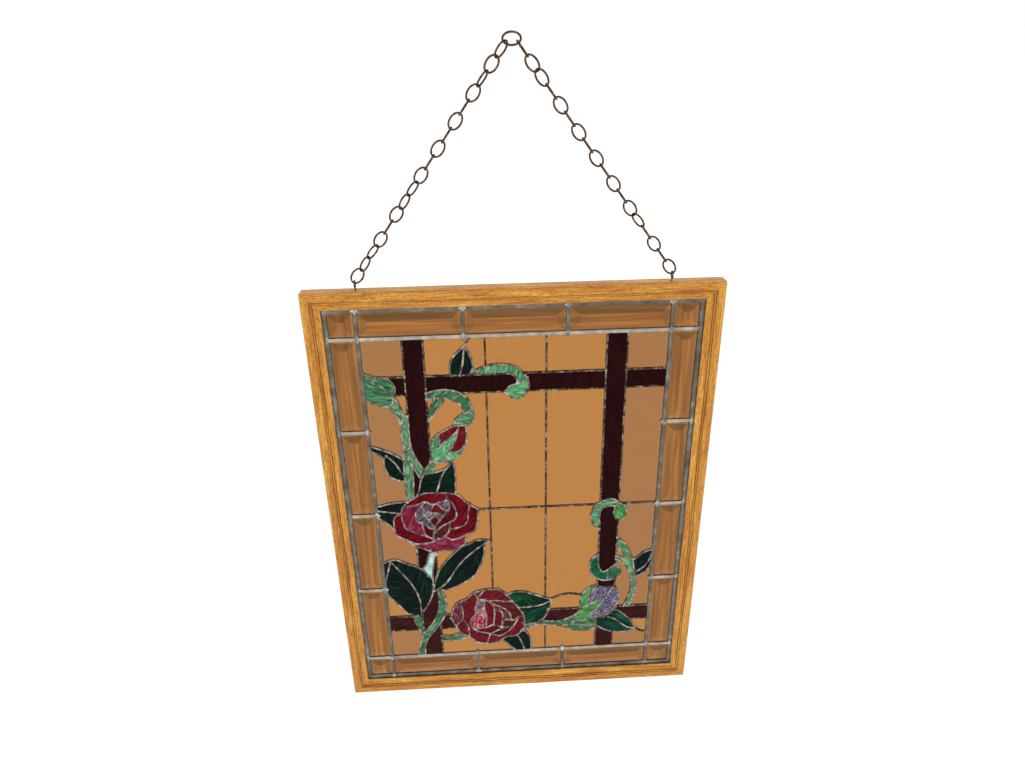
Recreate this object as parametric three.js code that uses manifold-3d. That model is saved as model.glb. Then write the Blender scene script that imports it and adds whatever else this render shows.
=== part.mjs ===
// Leaded glass panel with a rose trellis, in a mitred oak frame, hung on a chain.
// Millimetres, X right, Z up, front towards -Y. The origin is the hanging point: the top of the
// hole in the chain's middle link, where it bears on what it hangs from.
import * as THREE from "three";
import { mergeVertices } from "three/addons/utils/BufferGeometryUtils.js";
import { ConvexGeometry } from "three/addons/geometries/ConvexGeometry.js";
import Module from "manifold-3d";

const wasm = await Module();
wasm.setup();

// Clearance between pieces that touch
const GAP = 0.3;

// Glass
const GLASS = 3.2;
const STOCK_BEVEL_LENGTH = 152.4;
const BEVEL_LAND = 4.8;
const BEVEL_FACE = 11;
const BEVEL_RISE = 1.8;
const BEVEL_WIDTH = 42.8;
const COLUMNS = 3;
const ROWS = 4;

// Zinc came of the border
const CAME_HEART = 1.0;
const CAME_WIDTH = 6;
const EDGE_CAME_WIDTH = 10;
const EDGE_SLACK = 0.6;
const CAME_CROWN = 1.3;

// Soldered copper-foil seams of the picture
const SEAM_WIDTH = 3.2;
const SEAM_HEART = 0.8;
const SEAM_CROWN = 0.8;
const SEAM_END = 1;
const CHORD_ERROR = 1.2;
const CURVE_STEPS = 6;

// The picture's cartoon is drawn on a grid with this count of squares to one pitch. The picture's
// numbers below count squares, and the picture grows and shrinks with the pitch.
const CARTOON_UNITS = 154;

// Oak frame
const RAIL_WIDTH = 27;
const FRAME_DEPTH = 24;
const LIP = 8.1;
const SIGHT_LAP = 3;
const REBATE_CLEARANCE = 0.5;
const MITRE_GAP = GAP;

// Chain and screw eyes
const LINKS_PER_LEG = 18;
const LINK_LENGTH = 25.9;
const LINK_WIDTH = 18;
const LINK_WIRE = 2.8;
const LINK_BITE = 0.5;
const EYE_X = 226;
const EYE_RADIUS = 5;
const EYE_WIRE = 2.2;
const EYE_NECK = 4;
const EYE_SCREW = 12;

// Steps that settle where the legs bear on the middle link
const SETTLING_TURNS = 8;

// Facets of the wire
const LINK_STEPS = 8;
const LINK_SIDES = 4;
const TOP_LINK_SIDES = 6;
const EYE_STEPS = 10;

// The grid of the border: a bevel, the came's heart and a clearance at each end make one pitch
const PITCH = STOCK_BEVEL_LENGTH + CAME_HEART + 2 * GAP;
const FIELD_W = COLUMNS * PITCH;
const FIELD_H = ROWS * PITCH;
const CARTOON_W = COLUMNS * CARTOON_UNITS;
const CARTOON_H = ROWS * CARTOON_UNITS;
const CARTOON_SCALE = PITCH / CARTOON_UNITS;
const BORDER = BEVEL_WIDTH + CAME_HEART + 2 * GAP + EDGE_SLACK;
const PANEL_EDGE = BORDER + EDGE_CAME_WIDTH / 2;
const SIGHT_EDGE = PANEL_EDGE - SIGHT_LAP;
const FRAME_W = FIELD_W + 2 * (SIGHT_EDGE + RAIL_WIDTH);
const FRAME_H = FIELD_H + 2 * (SIGHT_EDGE + RAIL_WIDTH);

// The chain's triangle sets how far the frame hangs below the origin. Each leg pulls square to the
// oval of the middle link, at the spot where the leg's last link bears on it.
const linkHalf = (LINK_LENGTH - LINK_WIRE) / 2;
const linkSide = (LINK_WIDTH - LINK_WIRE) / 2;
const linkPitch = 2 * linkHalf - LINK_WIRE + LINK_BITE;
const firstLink = linkHalf - EYE_WIRE / 2 - LINK_WIRE / 2 - GAP;
const legReach = firstLink + (LINKS_PER_LEG - 1) * linkPitch + linkHalf - LINK_WIRE - GAP;
const topLinkZ = -(linkSide - LINK_WIRE / 2);
const bearing = new THREE.Vector2();
const legDirection = new THREE.Vector2(EYE_X, legReach).normalize();
for (let turn = 0; turn < SETTLING_TURNS; turn++) {
  bearing.set(linkHalf ** 2 * legDirection.x, linkSide ** 2 * legDirection.y);
  bearing.divideScalar(Math.hypot(linkHalf * legDirection.x, linkSide * legDirection.y));
  const across = EYE_X - bearing.x;
  legDirection.set(across, Math.sqrt(legReach ** 2 - across ** 2)).normalize();
}
const legDrop = legReach * legDirection.y + bearing.y;
const eyeTopZ = topLinkZ - legDrop;
const frameTop = eyeTopZ - 2 * EYE_RADIUS - EYE_NECK;
const frameFront = -FRAME_DEPTH / 2;
const cameHalf = GLASS / 2 + GAP + CAME_CROWN;
const panelY = frameFront + LIP + GAP + cameHalf;
const fieldLeft = -FIELD_W / 2;
const fieldBottom = frameTop - FRAME_H + RAIL_WIDTH + SIGHT_EDGE;

const finish = (color, roughness, metalness, opacity = 1) =>
  new THREE.MeshStandardMaterial({
    color,
    roughness,
    metalness,
    opacity,
    transparent: opacity < 1,
  });
const oak = finish(0xc98d42, 0.55, 0);
const bronze = finish(0x3b2a1c, 0.5, 0.9);
const lead = finish(0x6d6a62, 0.4, 0.9);
const bevelGlass = finish(0xd8b48c, 0.05, 0, 0.4);
const plainGlass = finish(0xc58954, 0.1, 0, 0.5);
const trellisGlass = finish(0x2c0a0a, 0.2, 0);
const leafGlass = finish(0x1f5c38, 0.25, 0);
const tendrilGlass = finish(0x79b684, 0.25, 0);
const roseGlass = finish(0x7c1026, 0.2, 0);

const part = new THREE.Group();

function addMesh(name, geometry, material) {
  const mesh = new THREE.Mesh(geometry, material);
  mesh.name = name;
  part.add(mesh);
  return mesh;
}

// A three.js geometry as a solid that can be joined and cut
function solid(geometry) {
  const bare = geometry.clone();
  bare.deleteAttribute("normal");
  bare.deleteAttribute("uv");
  const merged = mergeVertices(bare, 1e-4);
  return new wasm.Manifold(
    new wasm.Mesh({
      numProp: 3,
      vertProperties: merged.attributes.position.array,
      triVerts: new Uint32Array(merged.index.array),
    }),
  );
}

function geometryOf(body) {
  const mesh = body.getMesh();
  return new THREE.BufferGeometry()
    .setAttribute("position", new THREE.BufferAttribute(mesh.vertProperties, 3))
    .setIndex(new THREE.BufferAttribute(mesh.triVerts, 1));
}

// A flat outline in the panel's own millimetres (u right, v up), as a slab from the front y to the back y
function slab(outline, front, back) {
  const shape = new THREE.Shape(outline.map(([u, v]) => new THREE.Vector2(u, v)));
  const geometry = new THREE.ExtrudeGeometry(shape, { depth: back - front, bevelEnabled: false });
  geometry.rotateX(Math.PI / 2);
  geometry.translate(fieldLeft, panelY + back, fieldBottom);
  return solid(geometry);
}

// Oak moulding: distance in from the outer edge, depth behind the face, anticlockwise
function railProfile() {
  const rebate = SIGHT_EDGE + RAIL_WIDTH - PANEL_EDGE - REBATE_CLEARANCE;
  return [
    [0, FRAME_DEPTH],
    [0, 3.5],
    [1, 1],
    [3.5, 0],
    [RAIL_WIDTH - 13.5, 0],
    [RAIL_WIDTH - 13, 1.4],
    [RAIL_WIDTH - 12, 0.7],
    [RAIL_WIDTH - 10.5, 0.7],
    [RAIL_WIDTH - 9.4, 2.2],
    [RAIL_WIDTH - 4, 4.4],
    [RAIL_WIDTH - 0.8, 5.4],
    [RAIL_WIDTH, 6.3],
    [RAIL_WIDTH, LIP],
    [rebate, LIP],
    [rebate, FRAME_DEPTH],
  ];
}

// One mitred length: it runs along local X, with its outer edge up
function rail(length) {
  const profile = railProfile();
  const count = profile.length;
  const positions = [];
  for (const side of [-1, 1])
    for (const [inward, depth] of profile)
      positions.push(side * (length / 2 - inward - MITRE_GAP / 2), frameFront + depth, -inward);
  const index = [];
  for (let i = 0; i < count; i++) {
    const j = (i + 1) % count;
    index.push(i, j, count + j, i, count + j, count + i);
  }
  const cap = THREE.ShapeUtils.triangulateShape(
    profile.map(([inward, depth]) => new THREE.Vector2(inward, depth)),
    [],
  );
  for (const [a, b, c] of cap) index.push(a, c, b, count + a, count + b, count + c);
  const geometry = new THREE.BufferGeometry()
    .setAttribute("position", new THREE.Float32BufferAttribute(positions, 3))
    .setIndex(index);
  return solid(geometry).volume() > 0 ? geometry : flipped(geometry);
}

function flipped(geometry) {
  const index = geometry.index.array;
  for (let i = 0; i < index.length; i += 3) {
    const kept = index[i + 1];
    index[i + 1] = index[i + 2];
    index[i + 2] = kept;
  }
  return geometry;
}

function addFrame() {
  const top = solid(rail(FRAME_W).translate(0, 0, frameTop));
  const bores = [-1, 1].map((side) => {
    const bore = new THREE.CylinderGeometry(
      EYE_WIRE / 2 + GAP,
      EYE_WIRE / 2 + GAP,
      2 * (EYE_SCREW + GAP),
      6,
    );
    return solid(bore.rotateX(Math.PI / 2).translate(side * EYE_X, 0, frameTop));
  });
  addMesh("rail_top", geometryOf(bores.reduce((wood, bore) => wood.subtract(bore), top)), oak);
  const bottom = addMesh("rail_bottom", rail(FRAME_W), oak);
  bottom.rotation.y = Math.PI;
  bottom.position.z = frameTop - FRAME_H;
  for (const [name, side] of [
    ["stile_left", -1],
    ["stile_right", 1],
  ]) {
    const stile = addMesh(name, rail(FRAME_H), oak);
    stile.rotation.y = (side * Math.PI) / 2;
    stile.position.set((side * FRAME_W) / 2, 0, frameTop - FRAME_H / 2);
  }
}

// One border bevel: a flat back, straight edges held by the came, and a raised face with sloping margins
function addBevel(name, left, bottom, width, height) {
  const corners = (inset, y) =>
    [left + inset, left + width - inset].flatMap((x) =>
      [bottom + inset, bottom + height - inset].map(
        (z) => new THREE.Vector3(fieldLeft + x, panelY + y, fieldBottom + z),
      ),
    );
  const hull = (...rings) => solid(new ConvexGeometry(rings.flat()));
  const plate = hull(corners(0, GLASS / 2), corners(0, -GLASS / 2));
  const raised = hull(
    corners(BEVEL_LAND, 0),
    corners(BEVEL_LAND, -GLASS / 2),
    corners(BEVEL_LAND + BEVEL_FACE, -GLASS / 2 - BEVEL_RISE),
  );
  addMesh(name, geometryOf(plate.add(raised)), bevelGlass);
}

function addBevels() {
  const edge = CAME_HEART / 2 + GAP;
  const low = -edge - BEVEL_WIDTH;
  for (let column = 0; column < COLUMNS; column++) {
    const left = column * PITCH + edge;
    addBevel(`bevel_top_${column + 1}`, left, FIELD_H + edge, STOCK_BEVEL_LENGTH, BEVEL_WIDTH);
    addBevel(`bevel_bottom_${column + 1}`, left, low, STOCK_BEVEL_LENGTH, BEVEL_WIDTH);
  }
  for (let row = 0; row < ROWS; row++) {
    const bottom = (ROWS - 1 - row) * PITCH + edge;
    addBevel(`bevel_left_${row + 1}`, low, bottom, BEVEL_WIDTH, STOCK_BEVEL_LENGTH);
    addBevel(`bevel_right_${row + 1}`, FIELD_W + edge, bottom, BEVEL_WIDTH, STOCK_BEVEL_LENGTH);
  }
  addBevel("corner_top_left", low, FIELD_H + edge, BEVEL_WIDTH, BEVEL_WIDTH);
  addBevel("corner_top_right", FIELD_W + edge, FIELD_H + edge, BEVEL_WIDTH, BEVEL_WIDTH);
  addBevel("corner_bottom_left", low, low, BEVEL_WIDTH, BEVEL_WIDTH);
  addBevel("corner_bottom_right", FIELD_W + edge, low, BEVEL_WIDTH, BEVEL_WIDTH);
}

// An H-section came between two points of the panel, with a crowned face
function came(from, to, width = CAME_WIDTH) {
  const half = width / 2;
  const channel = GLASS / 2 + GAP;
  const heart = CAME_HEART / 2;
  const front = [
    [heart, channel],
    [half, channel],
    [half * 0.55, channel + CAME_CROWN],
  ];
  const turned = [
    ...front,
    ...front.map(([a, d]) => [-a, d]).reverse(),
    ...front.map(([a, d]) => [-a, -d]),
    ...front.map(([a, d]) => [a, -d]).reverse(),
  ];
  const length = Math.hypot(to[0] - from[0], to[1] - from[1]);
  const shape = new THREE.Shape(turned.map(([a, d]) => new THREE.Vector2(a, d)));
  const geometry = new THREE.ExtrudeGeometry(shape, { depth: length, bevelEnabled: false });
  if (from[0] === to[0]) geometry.translate(fieldLeft + from[0], panelY, fieldBottom + from[1]);
  else {
    geometry.rotateY(Math.PI / 2);
    geometry.translate(fieldLeft + from[0], panelY, fieldBottom + from[1]);
  }
  return solid(geometry);
}

// The extrusion runs along Z, and its section's second axis is the panel's depth
function borderCames() {
  const low = -BORDER;
  const right = FIELD_W + BORDER;
  const top = FIELD_H + BORDER;
  const reach = EDGE_CAME_WIDTH / 2;
  const cames = [];
  for (const u of [0, FIELD_W]) cames.push(came([u, low], [u, top]));
  for (const v of [0, FIELD_H]) cames.push(came([low, v], [right, v]));
  for (let column = 1; column < COLUMNS; column++) {
    cames.push(came([column * PITCH, low], [column * PITCH, 0]));
    cames.push(came([column * PITCH, FIELD_H], [column * PITCH, top]));
  }
  for (let row = 1; row < ROWS; row++) {
    cames.push(came([low, row * PITCH], [0, row * PITCH]));
    cames.push(came([FIELD_W, row * PITCH], [right, row * PITCH]));
  }
  for (const u of [low, right]) cames.push(came([u, low - reach], [u, top + reach], EDGE_CAME_WIDTH));
  for (const v of [low, top]) cames.push(came([low - reach, v], [right + reach, v], EDGE_CAME_WIDTH));
  return cames;
}

// A link's centreline, long axis along local X, in the XZ plane turned about X. Its facets lie
// outside the true oval, so that its ends and sides keep their reach.
const linkLine = (turn) =>
  Array.from({ length: LINK_STEPS }, (_, i) => {
    const angle = ((i + 0.5) * 2 * Math.PI) / LINK_STEPS;
    const outside = 1 / Math.cos(Math.PI / LINK_STEPS);
    const across = linkSide * outside * Math.sin(angle);
    return new THREE.Vector3(
      linkHalf * outside * Math.cos(angle),
      across * Math.sin(turn),
      across * Math.cos(turn),
    );
  });

// A closed ring of wire round a flat loop of points
function ring(points, wire, sides) {
  const count = points.length;
  const centre = points.reduce((sum, p) => sum.add(p), new THREE.Vector3()).divideScalar(count);
  const normal = points[0].clone().sub(centre).cross(points[1].clone().sub(centre)).normalize();
  const positions = [];
  const index = [];
  points.forEach((point, i) => {
    const before = points[(i + count - 1) % count];
    const after = points[(i + 1) % count];
    const along = after.clone().sub(before).normalize();
    const outward = along.clone().cross(normal);
    for (let k = 0; k < sides; k++) {
      const angle = (k * 2 * Math.PI) / sides;
      const radius = wire / 2 / Math.cos(Math.PI / sides / 2);
      const offset = outward
        .clone()
        .multiplyScalar(radius * Math.cos(angle))
        .addScaledVector(normal, radius * Math.sin(angle));
      positions.push(...point.clone().add(offset).toArray());
      const next = (i + 1) % count;
      const other = (k + 1) % sides;
      index.push(i * sides + k, next * sides + k, next * sides + other);
      index.push(i * sides + k, next * sides + other, i * sides + other);
    }
  });
  const geometry = new THREE.BufferGeometry()
    .setAttribute("position", new THREE.Float32BufferAttribute(positions, 3))
    .setIndex(index);
  return solid(geometry).volume() > 0 ? geometry : flipped(geometry);
}

// The order of the turns from the eye up: face-on, edge-on, or half turned to one side or the other
const TURNS = { F: 0, E: Math.PI / 2, S: 0.95, T: -0.95, N: 1.25, G: -0.45, H: 0.45 };
const LEFT_TURNS = "FSTFEFSTFEFEFEFNFS";
const RIGHT_TURNS = "FEFESFEFEFEFEFEGHE";

function leg(side, turns) {
  const direction = new THREE.Vector3(-side * legDirection.x, 0, legDirection.y);
  const lean = Math.atan2(direction.z, direction.x);
  const eyeContact = new THREE.Vector3(side * EYE_X, 0, eyeTopZ);
  const links = [...turns].map((letter, i) => {
    const geometry = ring(linkLine(TURNS[letter]), LINK_WIRE, LINK_SIDES);
    geometry.rotateY(-lean);
    const place = eyeContact.clone().addScaledVector(direction, firstLink + i * linkPitch);
    return solid(geometry.translate(place.x, place.y, place.z));
  });
  return geometryOf(wasm.Manifold.union(links));
}

// A ring edge-on to the front, a neck and a plain shank in the rail's bore
function screwEye(x) {
  const loop = Array.from({ length: EYE_STEPS }, (_, i) => {
    const angle = ((i + 0.5) * 2 * Math.PI) / EYE_STEPS;
    return new THREE.Vector3(0, EYE_RADIUS * Math.cos(angle), EYE_RADIUS * Math.sin(angle));
  });
  const eye = solid(ring(loop, EYE_WIRE, LINK_SIDES).translate(x, 0, eyeTopZ - EYE_RADIUS));
  const length = EYE_SCREW + EYE_NECK;
  const shank = new THREE.CylinderGeometry(EYE_WIRE / 2, EYE_WIRE / 2, length, 6);
  shank.rotateX(Math.PI / 2).translate(x, 0, frameTop + EYE_NECK - length / 2);
  return geometryOf(eye.add(solid(shank)));
}

function addChain() {
  addMesh("chain_left", leg(-1, LEFT_TURNS), bronze);
  addMesh("chain_right", leg(1, RIGHT_TURNS), bronze);
  const top = ring(linkLine(0), LINK_WIRE, TOP_LINK_SIDES);
  addMesh("chain_top_link", top.translate(0, 0, topLinkZ), bronze);
  addMesh("screw_eye_left", screwEye(-EYE_X), bronze);
  addMesh("screw_eye_right", screwEye(EYE_X), bronze);
}

// The picture's seams, in the cartoon's squares: u right and v up from the crossing of the
// left and lower cames. A cut seam parts two glass nodes, and a rib lies over a plate fused from
// several pieces. Two points are a straight seam, more are a smooth curve.
const seams = [];
const cut = (...numbers) => seams.push({ line: trace(numbers), through: true });
const rib = (...numbers) => seams.push({ line: trace(numbers), through: false });

function trace(numbers) {
  const points = [];
  for (let i = 0; i < numbers.length; i += 2)
    points.push(new THREE.Vector2(numbers[i], numbers[i + 1]).multiplyScalar(CARTOON_SCALE));
  if (points.length === 2) return points;
  return thinned(new THREE.SplineCurve(points).getPoints((points.length - 1) * CURVE_STEPS));
}

// Drop the points that stray from the chord by less than the allowed error
function thinned(line) {
  const first = line[0];
  const last = line[line.length - 1];
  const chord = last.clone().sub(first);
  let farthest = 0;
  let error = 0;
  line.forEach((point, i) => {
    const arm = point.clone().sub(first);
    const away = chord.length() > 0 ? Math.abs(arm.cross(chord)) / chord.length() : arm.length();
    if (away > error) {
      error = away;
      farthest = i;
    }
  });
  if (error < CHORD_ERROR) return [first, last];
  return [...thinned(line.slice(0, farthest + 1)).slice(0, -1), ...thinned(line.slice(farthest))];
}

// The outline of a strip along a line, a little longer than it at both ends
function ribbon(line, width) {
  const left = [];
  const right = [];
  line.forEach((point, i) => {
    const before = line[Math.max(i - 1, 0)];
    const after = line[Math.min(i + 1, line.length - 1)];
    const into = point.clone().sub(before).normalize();
    const out = after.clone().sub(point).normalize();
    const along = into.clone().add(out).normalize();
    const straightness = i === 0 || i === line.length - 1 ? 1 : Math.max(along.dot(out), 0.5);
    const end = i === 0 ? -SEAM_END : i === line.length - 1 ? SEAM_END : 0;
    const middle = point.clone().addScaledVector(along, end);
    const across = new THREE.Vector2(-along.y, along.x).multiplyScalar(width / 2 / straightness);
    left.push(middle.clone().add(across).toArray());
    right.push(middle.clone().sub(across).toArray());
  });
  return [...right, ...left.reverse()];
}

// Trellis: two posts and two bars, with the foil lines of the plain panes behind
const POST_LEFT = [63.5, 94];
const LOW_POST_LEFT = [60.5, 91.5];
const POST_RIGHT = [367, 398];
const TOP_BAR = [524, 553.5];
const LOW_BAR = [61.5, 92.5];
const PANE_LINES = [185, 276.5];
const MIDDLE_LINE = 311;

function trellisSeams() {
  const [left, leftEnd] = POST_LEFT;
  const [lowLeft, lowLeftEnd] = LOW_POST_LEFT;
  const [right, rightEnd] = POST_RIGHT;
  const [low, high] = TOP_BAR;
  const [foot, head] = LOW_BAR;
  for (const post of [left, leftEnd, right, rightEnd]) {
    cut(post, CARTOON_H, post, high);
    rib(post, high, post, low);
  }
  cut(left, low, left, 489);
  cut(leftEnd, low, leftEnd, 430);
  for (const [from, to] of [[37, left], [leftEnd, 223], [242, right], [rightEnd, CARTOON_W]])
    cut(from, high, to, high);
  for (const [from, to] of [[47, left], [142, 213], [246, right], [rightEnd, CARTOON_W]])
    cut(from, low, to, low);
  for (const [from, to] of [[low, 313], [267, 204], [158, 139], [48, 0]]) cut(right, from, right, to);
  for (const [from, to] of [[low, 310], [280, 184], [158, 138], [35, 0]]) cut(rightEnd, from, rightEnd, to);
  for (const [from, to] of [[0, 45], [98, 113], [280, 339], [403, CARTOON_W]]) cut(from, head, to, head);
  for (const [from, to] of [[0, 54], [lowLeftEnd, 120]]) cut(from, foot, to, foot);
  cut(427, 63, CARTOON_W, 63);
  cut(lowLeft, 243, lowLeft, 197);
  cut(lowLeftEnd, 228, lowLeftEnd, 186);
  rib(lowLeft, 95, lowLeft, 57);
  rib(lowLeftEnd, 72, lowLeftEnd, foot);
  cut(lowLeftEnd, foot, lowLeftEnd, 0);
  rib(right, 138.5, rightEnd, 138.5);
  const [first, second] = PANE_LINES;
  rib(first, CARTOON_H, first, 568);
  rib(first, low, first, 145);
  rib(second, CARTOON_H, second, high);
  rib(second, low, second, 121);
  rib(second, 57, second, 0);
  rib(165, MIDDLE_LINE, 356, MIDDLE_LINE);
  rib(402, MIDDLE_LINE, CARTOON_W, MIDDLE_LINE);
  rib(286, 116, 300, 122, 318, 126, 340, 122);
  rib(440, 40, 449, 33, CARTOON_W, 29);
}

// Leaf and tendril over the top bar
function topTendrilSeams() {
  cut(133, 553.5, 131, 566, 137, 583, 154, 600);
  cut(160, 553.5, 166, 566, 162, 586, 154, 600);
  rib(146, 553.5, 151, 572, 154, 600);
  rib(154, 600, 165, CARTOON_H);
  cut(163, 557, 182, 566, 205, 569.5, 228, 565, 245, 550, 250, 533, 245, 518, 229, 511, 213, 523);
  cut(223, 553.5, 231, 546, 232, 537, 221, 533, 213, 523);
  rib(232, 537, 241, 539, 248, 546);
}

// Bud at the upper left, its stems, and the leaf by the border
function leftStemSeams() {
  cut(0, 563, 15, 556, 36, 553, 44, 545, 48, 533, 44, 520);
  cut(0, 520, 12, 512, 24, 507, 35, 505);
  rib(44, 520, 42, 511, 35, 505);
  rib(13, 557, 15, 546, 30, 537, 41, 522);
  rib(44, 520, 50, 512, 57, 490);
  cut(35, 505, 43, 494, 50, 482, 52, 465, 52, 445, 55, 432);
  rib(42, 496, 53, 499);
  rib(57, 490, 54, 478, 52, 465);
  rib(57, 490, 63.5, 489);
  cut(63.5, 489, 63.5, 440);
  rib(55, 432, 60, 413);
  cut(60, 413, 68, 392, 76, 373);
  cut(63.5, 440, 68, 420, 76, 402, 82, 390);
  rib(82, 390, 80, 380, 76, 373);
  rib(55, 432, 62, 431, 64, 438);
  cut(55, 432, 52, 422, 51, 412);
  rib(51, 411, 51, 371);
  cut(51, 370, 51, 350, 52, 332);
  cut(60, 413, 63.5, 395, 64, 370, 62, 338);
  cut(0, 438, 20, 430, 37, 421, 51, 411);
  cut(0, 430, 12, 423, 20, 414, 21, 398, 30, 379, 51, 370);
  rib(20, 414, 25, 419);
  rib(25, 419, 37, 406, 45, 391, 51, 383);
  rib(76, 373, 73, 358, 69, 344);
}

// Rosebud, its leaves and the curved stem up to the top bar
function rosebudSeams() {
  rib(80, 384, 95, 385);
  cut(95, 385, 105, 387, 117, 392, 122, 398, 127, 405);
  cut(127, 405, 130, 395, 131, 370, 130, 344);
  rib(117, 392, 109, 377, 103, 358, 99, 346);
  cut(95, 412, 89, 398, 82, 390);
  cut(101, 404, 98, 392, 95, 385);
  cut(95, 412, 94, 425, 97, 441, 106, 453, 120, 461, 134, 469);
  cut(152, 468, 152, 447, 148, 430, 140, 415, 128, 406);
  rib(128, 406, 115, 404, 101, 404);
  rib(101, 404, 95, 412);
  rib(108, 434, 124, 446, 137, 457, 136, 448, 130, 433, 120, 417, 115, 404);
  cut(134, 469, 136, 479, 146, 487, 155, 489);
  cut(162, 497, 165, 484, 161, 474, 152, 467);
  rib(134, 469, 152, 468);
  rib(155, 489, 162, 497);
  cut(94, 526, 110, 530, 128, 530, 145, 524, 158, 511, 162, 497);
  cut(94, 516, 106, 517, 112, 517);
  cut(122, 516, 130, 514, 145, 504, 150, 489);
  cut(122, 516, 112, 501, 98, 482, 94, 478);
  rib(106, 517, 101, 505, 94, 490);
}

function upperRoseSeams() {
  cut(52, 332, 64, 340, 80, 347, 99, 347, 130, 343, 146, 327, 165, 312);
  cut(165, 312, 164, 292, 158, 270, 142, 261, 141, 244, 118, 231);
  cut(118, 231, 104, 232, 88, 228, 75, 236, 58, 244, 45, 257, 31, 264);
  cut(31, 264, 28, 272, 26, 281);
  rib(26, 281, 28, 302, 39, 310, 43, 321, 52, 332);
  rib(46, 325, 68, 329, 82, 331, 97, 327, 114, 333, 116, 343);
  rib(114, 333, 127, 320, 130, 304, 118, 292, 104, 283, 91, 269);
  rib(74, 286, 75, 272, 87, 258, 104, 258, 117, 272, 118, 292);
  cut(0, 324, 15, 328, 32, 331, 52, 332);
  cut(0, 304, 10, 297, 26, 281);
}

function lowerRoseSeams() {
  cut(110, 84, 113, 101, 122, 117, 138, 125, 152, 138, 172, 144, 194, 144);
  cut(194, 144, 203, 137, 209, 130);
  rib(209, 130, 219, 116, 230, 99, 238, 82, 240, 64);
  cut(240, 64, 239, 57, 236, 50);
  rib(236, 50, 229, 41, 221, 36, 206, 35, 199, 28);
  cut(199, 28, 190, 24, 172, 21, 152, 26);
  cut(152, 26, 141, 40, 128, 47, 118, 65, 110, 84);
  rib(152, 138, 158, 124, 153, 104, 154, 92, 145, 78, 145, 62, 156, 51);
  rib(156, 51, 178, 44, 194, 38, 207, 45, 222, 63, 229, 79);
  rib(170, 143, 158, 124, 170, 122, 184, 112, 203, 101, 214, 88, 217, 73, 229, 79);
  cut(209, 130, 222, 136, 240, 135, 258, 128, 286, 116);
  cut(286, 116, 286, 105, 280, 90, 271, 69);
  cut(240, 60, 252, 64, 264, 62, 271, 69);
  cut(199, 28, 210, 17, 224, 0);
  cut(236, 50, 246, 38, 251, 20, 251, 0);
}

// Two big leaves and the stems at the lower left
function lowerLeftSeams() {
  cut(58, 92.5, 35, 101, 24.5, 115, 4, 142, 0, 150);
  rib(3, 146, 2, 165, 5, 180, 14, 213);
  cut(62, 103, 70, 115, 79, 135, 83, 147);
  rib(83, 147, 83, 171, 76, 180);
  rib(58, 92.5, 62, 103);
  rib(83, 147, 95, 149);
  cut(76, 180, 64, 196, 42, 207, 22, 217, 0, 210);
  rib(59, 96, 58, 128, 49, 158, 33, 186, 14, 214);
  rib(84, 160, 93, 186, 113, 216, 138, 241);
  cut(138, 241, 150, 244, 158, 249, 170, 250, 181, 248);
  cut(95, 149, 105, 148, 125, 156, 154, 176, 170, 210, 174, 238, 181, 248);
  rib(84, 147, 105, 162, 129, 200, 153, 226, 181, 248);
  rib(82, 233, 74, 205, 68, 196, 76, 180);
  rib(92, 226, 87, 208, 84, 186, 84, 160);
  cut(95, 148, 102, 132, 103, 108, 97, 86, 83, 62, 68, 42, 61, 22, 60, 0);
  rib(91, 149, 91, 120, 87, 97, 76, 73, 62, 56);
  cut(62, 56, 56, 40, 51, 20, 48, 0);
  cut(45, 92.5, 49, 72, 57, 53);
  cut(57, 53, 61, 54);
  cut(45, 92.5, 58, 92);
  rib(91.5, 45, 108, 43, 127, 49);
  rib(91.5, 33, 110, 32, 125, 35, 141, 40);
  cut(271, 68, 288, 66, 308, 67, 330, 78);
  rib(236, 50, 251, 56, 266, 61);
  cut(266, 61, 285, 57, 306, 54);
  cut(306, 54, 322, 46, 342, 40, 367, 45);
  rib(331, 66, 324, 58, 345, 53, 367, 52);
  rib(306, 54, 324, 58);
}

// Purple bud over the right post, its leaves and the spray up the right side
function purpleBudSeams() {
  cut(367, 143, 351, 135, 341, 122, 338, 106, 339, 92, 330, 78);
  rib(364, 138, 357, 126, 353, 112, 352, 99, 346, 90, 339, 92);
  rib(330, 78, 334, 67, 345, 63, 354, 70, 380, 70);
  rib(352, 99, 364, 105, 382, 116);
  rib(354, 70, 362, 84, 374, 99, 382, 116);
  cut(398, 138, 405, 124, 406, 108, 399, 90, 388, 76);
  rib(388, 76, 380, 70);
  cut(388, 76, 400, 86, 415, 76, 429, 60, 440, 40);
  cut(403, 92.5, 400, 86);
  rib(380, 70, 396, 67, 411, 55, 425, 43, 440, 40);
  rib(367, 72, 367, 52);
  cut(367, 52, 367, 45);
  cut(367, 52, 374, 46, 388, 38, 404, 34, 424, 33, 440, 40);
}

function rightSpraySeams() {
  cut(398, 242, 410, 231, 420, 214, 427, 195);
  cut(398, 228, 407, 213, 417, 196);
  rib(398, 204, 409, 200, 417, 196);
  cut(398, 197, 411, 188, 421, 172, 426, 150, 425, 122, 416, 92.5);
  cut(431, 172, 435, 145, 433, 118, 425, 92.5);
  rib(427, 195, 431, 172);
  cut(427, 195, 434, 198, 446, 209, CARTOON_W, 215);
  rib(432, 166, 446, 177, 456, 193, CARTOON_W, 214);
  cut(432, 160, 446, 168, 457, 181, CARTOON_W, 196);
}

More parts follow.
